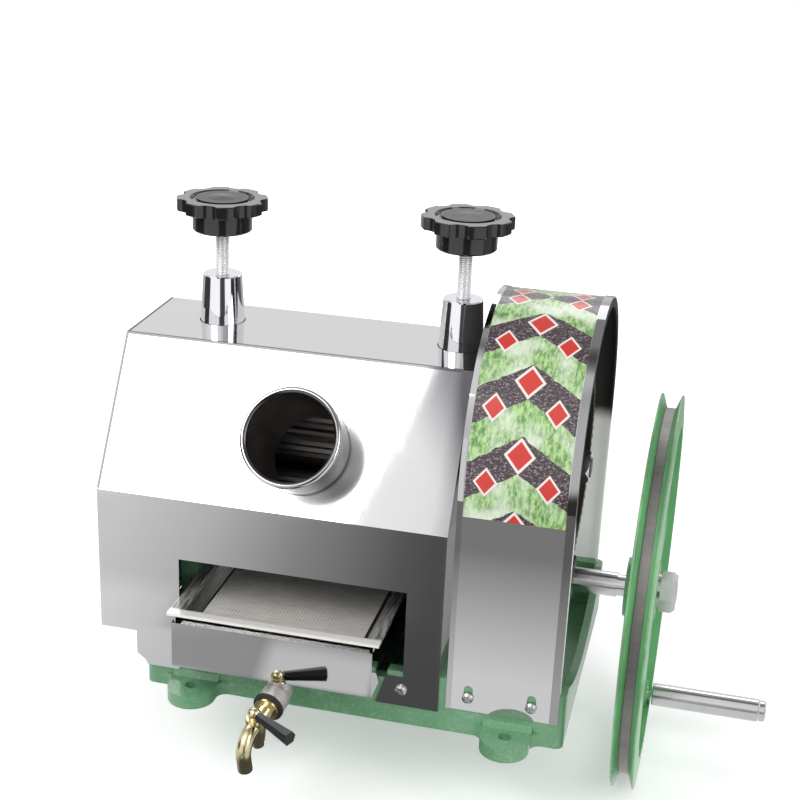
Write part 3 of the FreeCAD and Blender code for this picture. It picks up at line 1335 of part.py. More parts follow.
def write_parts():
    os.makedirs("parts", exist_ok=True)
    nut_start = wheel_hub_end + washer_thickness
    parts = {
        "base_casting": base_casting(),
        "left_side_frame": side_frame(left_frame_x, False),
        "right_side_frame": side_frame(right_frame_x, True),
        "frame_foot_bolts": foot_bolts(),
        "left_frame_cap": frame_cap(left_frame_x),
        "right_frame_cap": frame_cap(right_frame_x),
        "frame_cap_bolts": cap_bolts(),
        "roller_casing": roller_casing(),
        "casing_screws": casing_screws(),
        "feed_tube": feed_tube(),
        "gear_cover": gear_cover(),
        "gear_cover_screws": gear_cover_screws(),
        "turner_plate": turner_plate(),
        "discharge_chute": discharge_chute(),
        "lower_roller_bushes": lower_bushes(),
        "drive_shaft_bushes": drive_bushes(),
        "left_cone_bush": cone_bush(left_frame_x),
        "right_cone_bush": cone_bush(right_frame_x),
        "top_roller": top_roller(),
        "top_roller_gear": roller_gear(0, top_roller_z, top_gear_first),
        "top_gear_circlip": circlip(0, top_roller_z),
        "big_gear": big_gear(),
        "big_gear_key": key_x(gear_hub_x + 1, gear_face_x - 1, gear_seat_radius, 0, top_roller_z),
        "big_gear_nut": shaft_nut(gear_nut_flats, gear_face_x, gear_nut_end, top_roller_z),
        "left_bearing_block": bearing_block(left_frame_x, -1),
        "right_bearing_block": bearing_block(right_frame_x, 1),
        "top_roller_bushes": top_bushes(),
        "front_lower_roller": lower_roller(-lower_roller_half),
        "front_roller_gear": roller_gear(-lower_roller_half, lower_roller_z, lower_gear_first(-1)),
        "front_gear_circlip": circlip(-lower_roller_half, lower_roller_z),
        "rear_lower_roller": lower_roller(lower_roller_half),
        "rear_roller_gear": roller_gear(lower_roller_half, lower_roller_z, lower_gear_first(1)),
        "rear_gear_circlip": circlip(lower_roller_half, lower_roller_z),
        "drive_shaft": drive_shaft(),
        "drive_pinion": pinion(),
        "pinion_key": key_x(pinion_left_x + 1, pinion_shoulder_x - 1, shaft_seat_radius, 0, drive_z),
        "shaft_collar": shaft_collar(),
        "hand_wheel": hand_wheel(),
        "wheel_key": key_x(wheel_hub_x + 1, wheel_hub_end - 5, shaft_seat_radius, 0, drive_z),
        "wheel_set_screw": set_screw(),
        "wheel_washer": wheel_washer(),
        "wheel_nut": shaft_nut(nut_across_flats, nut_start, nut_start + nut_thickness, drive_z),
        "handle_spindle": handle_spindle(),
        "spindle_nut": spindle_nut(),
        "handle_sleeve": handle_sleeve(),
        "handle_end_cap": handle_cap(),
        "left_thrust_pad": thrust_pad(left_frame_x, 0),
        "left_pressure_screw": pressure_screw(left_frame_x, 0),
        "left_star_knob": star_knob(left_frame_x, 0),
        "right_thrust_pad": thrust_pad(right_frame_x, right_screw_rise),
        "right_pressure_screw": pressure_screw(right_frame_x, right_screw_rise),
        "right_star_knob": star_knob(right_frame_x, right_screw_rise),
        "juice_tray": juice_tray(),
        "outlet_elbow": outlet_elbow(),
        "tap_washer": tap_washer(),
        "tap_body": tap_body(),
        "tap_plug": tap_plug(),
        "tap_lever": tap_lever(),
        "sieve_frame": sieve_frame(),
        "sieve_mesh": sieve_mesh(),
    }
    for name, shape in parts.items():
        shape.exportStep("parts/" + name + ".step")
        print(name, "solids", len(shape.Solids), "valid", shape.isValid(), "cm3",
              round(shape.Volume / 1000, 2))
    print(len(parts), "nodes")


write_parts()
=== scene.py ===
import math

import bpy
from mathutils import Matrix, Vector


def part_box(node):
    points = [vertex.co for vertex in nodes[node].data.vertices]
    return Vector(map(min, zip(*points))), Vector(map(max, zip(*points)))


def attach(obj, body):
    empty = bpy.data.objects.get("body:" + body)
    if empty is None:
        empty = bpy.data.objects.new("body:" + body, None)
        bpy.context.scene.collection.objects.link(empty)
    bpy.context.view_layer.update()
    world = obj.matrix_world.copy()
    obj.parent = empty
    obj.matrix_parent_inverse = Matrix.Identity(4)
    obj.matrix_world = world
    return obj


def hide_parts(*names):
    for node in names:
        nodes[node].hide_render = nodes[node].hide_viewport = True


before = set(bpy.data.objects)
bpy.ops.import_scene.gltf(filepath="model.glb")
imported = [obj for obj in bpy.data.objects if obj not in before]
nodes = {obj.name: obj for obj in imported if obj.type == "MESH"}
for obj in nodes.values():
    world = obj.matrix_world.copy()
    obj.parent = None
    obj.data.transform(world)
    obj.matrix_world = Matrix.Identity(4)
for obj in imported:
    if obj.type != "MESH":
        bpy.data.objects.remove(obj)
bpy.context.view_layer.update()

# places on the machine, in metres
shaftZ = 0.107
archZ = 0.248    # centre of the gear cover's arch
tubeCentre = Vector((-0.060, -0.12015, 0.26435))
tubeAxis = Vector((0, -0.84624, 0.53280))


# ---- shader maths: a wrapped socket that adds its Math nodes by itself

class Signal:
    def __init__(self, tree, socket=None):
        self.tree = tree
        self.socket = socket

    def node(self, kind, settings, inputs, out=0):
        made = self.tree.nodes.new(kind)
        for name, value in settings.items():
            if name == "stops":
                ramp = made.color_ramp
                while len(ramp.elements) < len(value):
                    ramp.elements.new(0.5)
                for element, (position, colour) in zip(ramp.elements, value):
                    element.position = position
                    element.color = (*colour, 1)
            else:
                setattr(made, name, value)
        for name, value in inputs.items():
            if isinstance(value, Signal):
                self.tree.links.new(value.socket, made.inputs[name])
            else:
                made.inputs[name].default_value = value
        return Signal(self.tree, made.outputs[out])

    def maths(self, operation, first, second=0.0, clamp=False):
        settings = {"operation": operation, "use_clamp": clamp}
        return self.node("ShaderNodeMath", settings, {0: first, 1: second})

    def __add__(self, other):
        return self.maths("ADD", self, other)

    def __radd__(self, other):
        return self.maths("ADD", other, self)

    def __sub__(self, other):
        return self.maths("SUBTRACT", self, other)

    def __rsub__(self, other):
        return self.maths("SUBTRACT", other, self)

    def __mul__(self, other):
        return self.maths("MULTIPLY", self, other)

    def __rmul__(self, other):
        return self.maths("MULTIPLY", other, self)

    def __truediv__(self, other):
        return self.maths("DIVIDE", self, other)

    def __gt__(self, other):
        return self.maths("GREATER_THAN", self, other)

    def __lt__(self, other):
        return self.maths("LESS_THAN", self, other)

    def held(self):
        return self.maths("ADD", self, 0.0, True)

    def wave(self):
        return self.maths("SINE", self)

    def fraction(self):
        return self.maths("FRACT", self)

    def size(self):
        return self.maths("ABSOLUTE", self)

    def axis(self, name):
        return self.node("ShaderNodeSeparateXYZ", {}, {0: self}, name)

    def stretched(self, factors):
        return self.node("ShaderNodeVectorMath", {"operation": "MULTIPLY"}, {0: self, 1: factors})

    def moved(self, step):
        return self.node("ShaderNodeVectorMath", {"operation": "SUBTRACT"}, {0: self, 1: step})

    def along(self, origin, direction):
        return self.node("ShaderNodeVectorMath", {"operation": "DOT_PRODUCT"},
                         {0: self.moved(origin), 1: direction}, 1)

    def awayFrom(self, origin, direction):
        cross = self.node("ShaderNodeVectorMath", {"operation": "CROSS_PRODUCT"},
                          {0: self.moved(origin), 1: direction})
        return cross.node("ShaderNodeVectorMath", {"operation": "LENGTH"}, {0: cross}, 1)

    def noise(self, scale, detail=3.0, roughness=0.5):
        return self.node("ShaderNodeTexNoise", {}, {"Vector": self, "Scale": scale, "Detail": detail,
                                                    "Roughness": roughness})

    def cells(self, scale):
        return self.node("ShaderNodeTexVoronoi", {}, {"Vector": self, "Scale": scale})

    def ramp(self, stops):
        return self.node("ShaderNodeValToRGB", {"stops": stops}, {0: self})

    def step(self, low, high):
        return self.node("ShaderNodeMapRange", {"interpolation_type": "SMOOTHSTEP"},
                         {0: self, 1: low, 2: high, 3: 0.0, 4: 1.0})

    def blend(self, first, second):
        def colour(value):
            return value if isinstance(value, Signal) else (*value, 1)
        sockets = {0: self, 6: colour(first), 7: colour(second)}
        return self.node("ShaderNodeMix", {"data_type": "RGBA"}, sockets, 2)

    def mixed(self, first, second):
        return self.node("ShaderNodeMix", {}, {0: self, 2: first, 3: second})

    def profile(self, stops):
        # levels between 0 and 2 that follow the signal through the given places
        low, high = stops[0][0], stops[-1][0]
        spread = self.node("ShaderNodeMapRange", {}, {0: self, 1: low, 2: high, 3: 0.0, 4: 1.0})
        greys = [((at - low) / (high - low), (level / 2, level / 2, level / 2)) for at, level in stops]
        return spread.ramp(greys) * 2.0

    def bump(self, strength, distance):
        return self.node("ShaderNodeBump", {}, {"Height": self, "Strength": strength, "Distance": distance})


def newFinish(name, fixed, paint):
    material = bpy.data.materials.new(name)
    material.use_nodes = True
    tree = material.node_tree
    shader = tree.nodes["Principled BSDF"]
    for socketName, value in fixed.items():
        shader.inputs[socketName].default_value = value
    place = Signal(tree).node("ShaderNodeTexCoord", {}, {}, "Object")
    for socketName, signal in paint(place).items():
        tree.links.new(signal.socket, shader.inputs[socketName])
    return material


def wear(material, *names):
    for name in names:
        nodes[name].data.materials.clear()
        nodes[name].data.materials.append(material)


# ---- enamel on the castings

enamel = {"colour": (0.155, 0.355, 0.190), "shade": (0.110, 0.275, 0.138), "pale": (0.270, 0.450, 0.315),
          "patches": 9.0, "scuffs": 55.0, "specks": 330.0, "grain": 420.0, "grainDepth": 0.00035}


def enamelPaint(place):
    patches = place.noise(enamel["patches"], 4.0)
    colour = patches.step(0.35, 0.7).blend(enamel["shade"], enamel["colour"])
    scuffs = place.noise(enamel["scuffs"], 5.0, 0.62).step(0.60, 0.72)
    colour = (scuffs * 0.45).blend(colour, enamel["pale"])
    specks = place.noise(enamel["specks"], 3.0, 0.6).step(0.50, 0.66)
    colour = (specks * 0.35).blend(colour, enamel["pale"])
    grain = place.noise(enamel["grain"], 3.0) * 0.8 + place.noise(60.0, 2.0)
    return {"Base Color": colour, "Roughness": patches * 0.2 + 0.2,
            "Normal": grain.bump(0.75, enamel["grainDepth"])}


baseFinish = newFinish("castEnamel", {"Coat Weight": 0.4, "Coat Roughness": 0.12}, enamelPaint)

wheelPaint = {"colour": (0.175, 0.500, 0.210), "shade": (0.120, 0.410, 0.150), "bare": (0.235, 0.225, 0.215),
              "turned": (0.17, 0.163, 0.155), "grooveX": 0.272, "grooveHalf": 0.0062, "grooveLow": 0.1838,
              "grooveHigh": 0.1872, "rubbedFrom": 0.2035, "rubbedTo": 0.2062}


def wheelEnamel(place):
    coat = enamelPaint(place)
    green = place.noise(14.0, 4.0).step(0.35, 0.7).blend(wheelPaint["shade"], wheelPaint["colour"])
    radius = place.awayFrom((0, 0, shaftZ), (1, 0, 0))
    across = (place.axis("X") - wheelPaint["grooveX"]).size()
    # bare steel: the groove's bottom, and spots rubbed along the rim
    bottom = (radius > wheelPaint["grooveLow"]) * (radius < wheelPaint["grooveHigh"])
    bottom = bottom * (across < wheelPaint["grooveHalf"])
    rubbed = (place.noise(34.0, 4.0) * 0.012 + radius).step(wheelPaint["rubbedFrom"], wheelPaint["rubbedTo"])
    bare = (bottom + rubbed * 0.5).held()
    turning = (radius * 9000.0 + place.noise(40.0, 2.0) * 6.0).wave() * 0.5 + 0.5
    steel = turning.blend(wheelPaint["turned"], wheelPaint["bare"])
    return {"Base Color": bare.blend(green, steel), "Metallic": bare * 0.7,
            "Roughness": coat["Roughness"] + bare * 0.12, "Normal": coat["Normal"]}


wheelFinish = newFinish("wheelEnamel", {"Coat Weight": 0.2, "Coat Roughness": 0.15}, wheelEnamel)
print("castings painted")


# ---- metals

sheetSteel = {"tone": (0.665, 0.665, 0.675), "dark": (0.625, 0.625, 0.635)}


def sheetPaint(place, lines):
    brushed = place.stretched(lines).noise(55.0, 4.0, 0.6)
    cloud = place.noise(5.0, 3.0)
    smears = place.noise(24.0, 5.0, 0.6).step(0.5, 0.8)
    return {"Base Color": brushed.blend(sheetSteel["dark"], sheetSteel["tone"]),
            "Roughness": brushed * 0.03 + cloud * 0.03 + smears * 0.03 + 0.015,
            "Normal": (brushed * 0.12 + cloud * 2.0).bump(0.05, 0.0005)}


# the crease and corner colours below are painted shade on the polished sheet
casingSteel = {"fold": (0, -0.070, 0.344), "creaseFrom": 0.0019, "creaseTo": 0.0031, "edgeX": -0.2572,
               "slopeZ": 0.2095, "slopeY": -0.0695, "crease": (0.08, 0.08, 0.085),
               "corner": (0.12, 0.12, 0.13), "cornerLean": 0.8, "cornerShift": 0.268,
               "sideFrom": 0.070, "sideTo": 0.090,
               "haloFrom": 0.050, "haloTo": 0.082, "haloRough": 0.20}


def casingPaint(place):
    coat = sheetPaint(place, (60.0, 1.0, 1.0))
    x = place.axis("X")
    z = place.axis("Z")
    # painted shade: dark lines along the upper fold and down the slope's left edge
    fold = place.awayFrom(casingSteel["fold"], (1, 0, 0))
    crease = 1.0 - fold.step(casingSteel["creaseFrom"], casingSteel["creaseTo"])
    leftEdge = (x < casingSteel["edgeX"]) * (z > casingSteel["slopeZ"])
    tone = (crease + leftEdge).held().blend(coat["Base Color"], casingSteel["crease"])
    # painted shade: the slope greys towards its upper right corner and along its right side
    slope = (z > casingSteel["slopeZ"]) * (place.axis("Y") < casingSteel["slopeY"])
    corner = (x + z * casingSteel["cornerLean"] - casingSteel["cornerShift"]).step(-0.005, 0.085) * 0.8
    corner = corner + x.step(casingSteel["sideFrom"], casingSteel["sideTo"]) * 0.3
    coat["Base Color"] = (slope * corner).held().blend(tone, casingSteel["corner"])
    # duller around the feed tube, so that its mirror image is soft
    halo = 1.0 - place.awayFrom(tubeCentre, tubeAxis).step(casingSteel["haloFrom"], casingSteel["haloTo"])
    coat["Roughness"] = coat["Roughness"] + halo * casingSteel["haloRough"]
    return coat


casingFinish = newFinish("polishedSheet", {"Metallic": 1.0}, casingPaint)
trayFinish = newFinish("traySheet", {"Metallic": 1.0}, lambda place: sheetPaint(place, (1.0, 60.0, 60.0)))

# sieve: painted highlight on the front rim, painted shade along the rim's sides, darker slopes inside it
# (painted shade), and a woven bottom whose wires lie close together

sieveSteel = {"rim": (0.96, 0.94, 0.90), "rimSide": (0.07, 0.068, 0.066), "rimZ": 0.1028, "sideFrom": -0.186,
              "sideTo": -0.180, "slope": (0.42, 0.40, 0.38), "slopeStreak": (0.80, 0.78, 0.75),
              "brush": (0.60, 0.58, 0.55), "wire": (0.60, 0.58, 0.54), "gap": (0.38, 0.37, 0.345)}


def sievePaint(place):
    brushed = place.stretched((1.0, 40.0, 40.0)).noise(60.0, 4.0, 0.6)
    streaks = place.stretched((120.0, 6.0, 1.0)).noise(7.0, 4.0, 0.6).step(0.38, 0.62)
    # painted highlight: the front rim is pale and less metallic; painted shade darkens the rim's sides and
    # the slopes
    rim = place.axis("Z").step(sieveSteel["rimZ"] - 0.001, sieveSteel["rimZ"])
    side = place.axis("Y").step(sieveSteel["sideFrom"], sieveSteel["sideTo"])
    pale = (side * (streaks * 0.4 + 0.58)).held().blend(sieveSteel["rim"], sieveSteel["rimSide"])
    slope = (streaks * 0.5).blend(sieveSteel["slope"], sieveSteel["slopeStreak"])
    return {"Base Color": (brushed * 0.15).blend(rim.blend(slope, pale), sieveSteel["brush"]),
            "Metallic": 1.0 - rim * 0.70, "Roughness": brushed * 0.10 + 0.12,
            "Normal": brushed.bump(0.08, 0.0006)}


sieveFinish = newFinish("sieveSheet", {}, sievePaint)


def meshPaint(place):
    # painted shade: darker combed streaks stand for the gaps between wires, mixed with a random stain
    combed = place.stretched((1.6, 14.0, 1.0)).noise(24.0, 5.0, 0.7)
    stain = place.noise(30.0, 3.0)
    tone = combed * 0.75 + stain * 0.25
    return {"Base Color": tone.step(0.25, 0.75).blend(sieveSteel["gap"], sieveSteel["wire"]),
            "Roughness": combed * 0.15 + 0.30, "Normal": combed.bump(0.2, 0.0003)}


meshFinish = newFinish("wovenMesh", {"Metallic": 0.1}, meshPaint)

# feed tube: depths run along its axis from the slope to the mouth, radii from the axis

# painted light on the tube: a dark right side with lighter spots, a dark foot band and a dark lip
tubeSteel = {"bore": 0.0445, "lipRadius": 0.0452, "lipDepth": 0.0545, "beadRadius": 0.0470,
             "beadDepth": 0.0520, "footDepth": 0.0075, "ribPitch": 0.0042, "ribDepth": 0.0006,
             "rightFrom": -0.075, "rightTo": -0.030,
             "left": (0.52, 0.52, 0.53), "dark": (0.23, 0.23, 0.235), "spot": (0.66, 0.66, 0.66),
             "foot": (0.04, 0.04, 0.042), "inside": (0.46, 0.42, 0.40), "lip": (0.10, 0.10, 0.10)}


def tubePaint(place):
    coat = sheetPaint(place, (30.0, 30.0, 30.0))
    depth = place.along(tubeCentre, tubeAxis)
    radius = place.awayFrom(tubeCentre, tubeAxis)
    inside = radius < tubeSteel["bore"]
    bead = (radius > tubeSteel["beadRadius"]) * (depth > tubeSteel["beadDepth"])
    # painted shade: a dark line round the inner edge of the mouth
    lip = (radius < tubeSteel["lipRadius"]) * (depth > tubeSteel["lipDepth"])
    # painted shade: a dark band where the tube meets the slope
    foot = depth < tubeSteel["footDepth"]
    # painted shade over the tube's right side, with painted highlight spots
    right = place.axis("X").step(tubeSteel["rightFrom"], tubeSteel["rightTo"])
    shaded = (place.noise(38.0, 3.0).step(0.40, 0.62) * 0.35).blend(tubeSteel["dark"], tubeSteel["spot"])
    outside = foot.blend((right * (1.0 - bead)).blend(tubeSteel["left"], shaded), tubeSteel["foot"])
    outside = bead.blend(outside, coat["Base Color"])
    coat["Base Color"] = lip.blend(inside.blend(outside, tubeSteel["inside"]), tubeSteel["lip"])
    coat["Roughness"] = coat["Roughness"] + inside * 0.14
    ribs = (depth * (2 * math.pi / tubeSteel["ribPitch"])).wave() * inside
    coat["Normal"] = (ribs * 0.5).bump(0.9, tubeSteel["ribDepth"])
    return coat


tubeFinish = newFinish("feedTubeSteel", {"Metallic": 1.0}, tubePaint)


def turnedPaint(light, dark, rough, grain=9000.0):
    def paint(place):
        marks = (place.axis("X") * grain + place.noise(90.0, 2.0) * 5.0).wave() * 0.5 + 0.5
        blotch = place.noise(70.0, 4.0)
        return {"Base Color": (marks * 0.5 + blotch * 0.5).blend(dark, light),
                "Roughness": blotch * 0.14 + rough, "Normal": (marks * 0.6 + blotch).bump(0.12, 0.0002)}
    return paint


turnedFinish = newFinish("turnedSteel", {"Metallic": 1.0},
                         turnedPaint((0.68, 0.68, 0.68), (0.50, 0.50, 0.50), 0.06))
rollerFinish = newFinish("rollerSteel", {"Metallic": 1.0},
                         turnedPaint((0.26, 0.25, 0.24), (0.13, 0.125, 0.12), 0.34))
elbowFinish = newFinish("blastedSteel", {"Metallic": 0.35},
                        turnedPaint((0.70, 0.67, 0.65), (0.34, 0.325, 0.315), 0.36, 700.0))
screwFinish = newFinish("screwZinc", {"Metallic": 1.0},
                        turnedPaint((0.58, 0.58, 0.59), (0.36, 0.36, 0.37), 0.24, 2500.0))
ironFinish = newFinish("frameIron", {"Metallic": 0.85},
                       turnedPaint((0.20, 0.20, 0.20), (0.11, 0.11, 0.11), 0.38, 4000.0))
bronzeFinish = newFinish("bushBronze", {"Metallic": 1.0},
                         turnedPaint((0.55, 0.36, 0.17), (0.40, 0.25, 0.11), 0.25))


def gearPaint(place):
    film = place.noise(60.0, 5.0, 0.6)
    rust = place.noise(22.0, 4.0).step(0.48, 0.72)
    colour = rust.blend((0.040, 0.033, 0.030), (0.085, 0.052, 0.034))
    return {"Base Color": film.blend(colour, (0.055, 0.047, 0.043)), "Roughness": film * 0.3 + 0.28,
            "Normal": film.bump(0.35, 0.0006)}


gearFinish = newFinish("oiledGearIron", {"Metallic": 0.55}, gearPaint)


def chromePaint(place):
    haze = place.noise(120.0, 4.0)
    return {"Base Color": haze.blend((0.74, 0.75, 0.77), (0.84, 0.85, 0.87)), "Roughness": haze * 0.06 + 0.03}


chromeFinish = newFinish("brightPlate", {"Metallic": 1.0}, chromePaint)


def rodPaint(place):
    polish = place.noise(160.0, 3.0)
    return {"Base Color": polish.blend((0.72, 0.73, 0.75), (0.92, 0.92, 0.94)),
            "Roughness": polish * 0.1 + 0.16, "Normal": polish.bump(0.1, 0.0003)}


rodFinish = newFinish("threadedRod", {"Metallic": 0.5}, rodPaint)


def brassPaint(place):
    stain = place.noise(70.0, 5.0, 0.6)
    tone = stain.blend((0.52, 0.45, 0.26), (0.78, 0.69, 0.42))
    return {"Base Color": tone, "Roughness": stain * 0.14 + 0.16,
            "Normal": (stain + place.noise(300.0, 2.0) * 0.4).bump(0.22, 0.0006)}


brassFinish = newFinish("tapBrass", {"Metallic": 1.0}, brassPaint)
print("metals ready")


# ---- plastics and rubber

def gripPaint(place):
    orange = place.noise(900.0, 2.0)
    smear = place.noise(35.0, 4.0)
    return {"Base Color": smear.blend((0.008, 0.008, 0.009), (0.015, 0.015, 0.017)),
            "Roughness": smear * 0.12 + 0.16, "Normal": orange.bump(0.06, 0.0003)}


knobBoxes = [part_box(name) for name in ("left_star_knob", "right_star_knob")]
knobAxes = [((low[0] + high[0]) / 2, (low[1] + high[1]) / 2, 0) for low, high in knobBoxes]
knobDome = (knobBoxes[0][1][0] - knobBoxes[0][0][0]) * 0.285    # radius of the dome on top


def knobPaint(place):
    # the dome has less gloss than the lobes around it
    coat = gripPaint(place)
    left, right = [place.awayFrom(axis, (0, 0, 1)) for axis in knobAxes]
    dome = left.maths("MINIMUM", left, right) < knobDome
    coat["Coat Weight"] = 0.9 - dome * 0.8
    return coat


gripFinish = newFinish("blackPhenolic", {"Specular IOR Level": 0.14, "Coat Roughness": 0.05}, knobPaint)
leverFinish = newFinish("blackLever", {"Specular IOR Level": 0.25}, gripPaint)


def rubberPaint(place):
    dust = place.noise(140.0, 4.0)
    return {"Base Color": dust.blend((0.012, 0.012, 0.012), (0.030, 0.029, 0.028)),
            "Roughness": dust * 0.2 + 0.5, "Normal": dust.bump(0.2, 0.0004)}


rubberFinish = newFinish("sealRubber", {}, rubberPaint)
print("plastics ready")


# ---- gear cover: bare sheet below, and over the arch a printed band of chevrons with lozenges

coverBand = {"radius": 0.156, "skin": 0.1544, "startZ": 0.2325, "leftX": 0.1030, "rightX": 0.1980,
             "middleX": 0.1505, "leftHem": 0.1025, "rightHem": 0.1985, "pitch": 0.070,
             "slant": 0.62, "ragged": 0.006, "leafDark": (0.10, 0.24, 0.07), "leafLight": (0.42, 0.62, 0.27),
             "sky": (0.74, 0.80, 0.68), "plumDark": (0.045, 0.028, 0.034), "plumLight": (0.38, 0.33, 0.36),
             "red": (0.56, 0.040, 0.028), "edge": (0.80, 0.70, 0.68), "edgeWidth": 0.28,
             "centreWide": 0.0115, "centreHigh": 0.0135, "pairWide": 0.0090, "pairHigh": 0.0110,
             "pairX": 0.029}
# inside the cover: the dark colour is painted shade, the glow is painted light, and the hem colour is painted
# shade
coverInside = {"pale": (0.82, 0.81, 0.80), "dark": (0.035, 0.033, 0.031), "darkFrom": 0.222, "darkTo": 0.243,
               "glow": 0.17, "hem": (0.16, 0.16, 0.165)}


def coverPaint(place):
    sheet = sheetPaint(place, (60.0, 1.0, 1.0))
    x = place.axis("X")
    y = place.axis("Y").size()
    z = place.axis("Z")
    # outer skin of the arch and of the straight walls below it
    onArch = (place.awayFrom((0, 0, archZ), (1, 0, 0)) > coverBand["skin"]) * (z > archZ)
    onWall = (y > coverBand["skin"]) * (z < archZ + 0.0001)
    inside = 1.0 - (onArch + onWall).held()
    band = (onArch + onWall * (z > coverBand["startZ"])).held()
    band = band * (x > coverBand["leftX"]) * (x < coverBand["rightX"])
    # the pattern lies flat: across the cover, and climbing from the arch's foot to its crown
    climb = place.node("ShaderNodeMath", {"operation": "ARCTAN2"}, {0: z - archZ, 1: y}) * coverBand["radius"]
    flat = place.node("ShaderNodeCombineXYZ", {}, {"X": x, "Y": climb, "Z": 0.0})
    across = (x - coverBand["middleX"]).size()
    # chevrons: green blades and speckled plum by turns
    ragged = flat.noise(120.0, 3.0) * coverBand["ragged"]
    turn = ((climb + across * coverBand["slant"] + ragged) / coverBand["pitch"] + 4.0).fraction()
    blades = flat.stretched((3.0, 1.0, 1.0)).noise(95.0, 5.0, 0.7)
    leaves = blades.step(0.38, 0.60).blend(coverBand["leafDark"], coverBand["leafLight"])
    leaves = (flat.noise(26.0, 3.0).step(0.42, 0.66) * 0.75).blend(leaves, coverBand["sky"])
    speckle = 1.0 - flat.stretched((1.0, 1.5, 1.0)).cells(330.0).step(0.16, 0.42)
    flecks = flat.stretched((1.0, 2.0, 1.0)).noise(260.0, 4.0, 0.75).step(0.44, 0.70)
    plum = (speckle * 0.65 + flecks * 0.35).blend(coverBand["plumDark"], coverBand["plumLight"])
    printed = (turn > 0.5).blend(leaves, plum)
    # lozenges with pale edges: one on each plum stripe's point, a pair on each green stripe
    even = (climb / coverBand["pitch"] + 4.0).fraction()
    centre = (across / coverBand["centreWide"]
              + (even - 0.70).size() * (coverBand["pitch"] / coverBand["centreHigh"]))
    pair = ((across - coverBand["pairX"]).size() / coverBand["pairWide"]
            + (even - 0.30).size() * (coverBand["pitch"] / coverBand["pairHigh"]))
    lozenge = centre.maths("MINIMUM", centre, pair)
    printed = (lozenge < 1.0 + coverBand["edgeWidth"]).blend(printed, coverBand["edge"])
    printed = (lozenge < 1.0).blend(printed, coverBand["red"])
    # bare sheet: painted shade on the hems outside, and inside pale with a painted glow low down and painted
    # shade above
    hem = ((x > coverBand["rightHem"]) * 0.6 + (x < coverBand["leftHem"]) * 0.3) * (1.0 - inside)
    tone = hem.blend(sheet["Base Color"], coverInside["hem"])
    # painted shade over the upper inside, and a painted glow on the pale lower inside
    high = z.step(coverInside["darkFrom"], coverInside["darkTo"])
    bare = inside.blend(tone, high.blend(coverInside["pale"], coverInside["dark"]))
    rough = sheet["Roughness"] + inside * (high * 0.45 + 0.35)
    return {"Base Color": band.blend(bare, printed), "Metallic": 1.0 - band - inside,
            "Emission Color": inside * (1.0 - high) * coverInside["glow"],
            "Roughness": band.mixed(rough, 0.20), "Normal": sheet["Normal"]}


# the emission strength carries the painted glow inside the cover
coverFinish = newFinish("printedCover", {"Emission Strength": 1.0}, coverPaint)
print("cover print ready")

wear(baseFinish, "base_casting", "left_side_frame", "right_side_frame")
wear(wheelFinish, "hand_wheel")
wear(casingFinish, "roller_casing", "discharge_chute")
wear(trayFinish, "juice_tray")
wear(sieveFinish, "sieve_frame")
wear(meshFinish, "sieve_mesh")
wear(elbowFinish, "outlet_elbow")
wear(tubeFinish, "feed_tube")
wear(coverFinish, "gear_cover")
wear(ironFinish, "left_frame_cap", "right_frame_cap")
wear(rollerFinish, "top_roller", "front_lower_roller", "rear_lower_roller", "turner_plate")
wear(gearFinish, "big_gear", "drive_pinion", "top_roller_gear", "front_roller_gear", "rear_roller_gear")
wear(bronzeFinish, "top_roller_bushes", "lower_roller_bushes", "drive_shaft_bushes")
wear(turnedFinish, "drive_shaft", "shaft_collar", "frame_foot_bolts", "frame_cap_bolts", "top_gear_circlip",
     "front_gear_circlip", "rear_gear_circlip", "big_gear_key", "big_gear_nut", "pinion_key", "wheel_key")
wear(turnedFinish, "wheel_washer", "wheel_nut", "spindle_nut", "left_thrust_pad", "right_thrust_pad",
     "left_bearing_block", "right_bearing_block", "handle_sleeve", "handle_end_cap")
wear(chromeFinish, "left_cone_bush", "right_cone_bush", "handle_spindle")
wear(screwFinish, "casing_screws", "gear_cover_screws", "wheel_set_screw")
wear(rodFinish, "left_pressure_screw", "right_pressure_screw")
wear(gripFinish, "left_star_knob", "right_star_knob")
wear(leverFinish, "tap_lever")
wear(brassFinish, "tap_body", "tap_plug")
wear(rubberFinish, "tap_washer")
print("nodes dressed")


# ---- pressure screws: turned point, then ridges one pitch apart

screwThread = {"pitch": 0.002, "crest": 0.0070, "root": 0.0061, "chamfer": 0.001, "point": 0.0044,
               "pointLength": 0.004, "sides": 28}


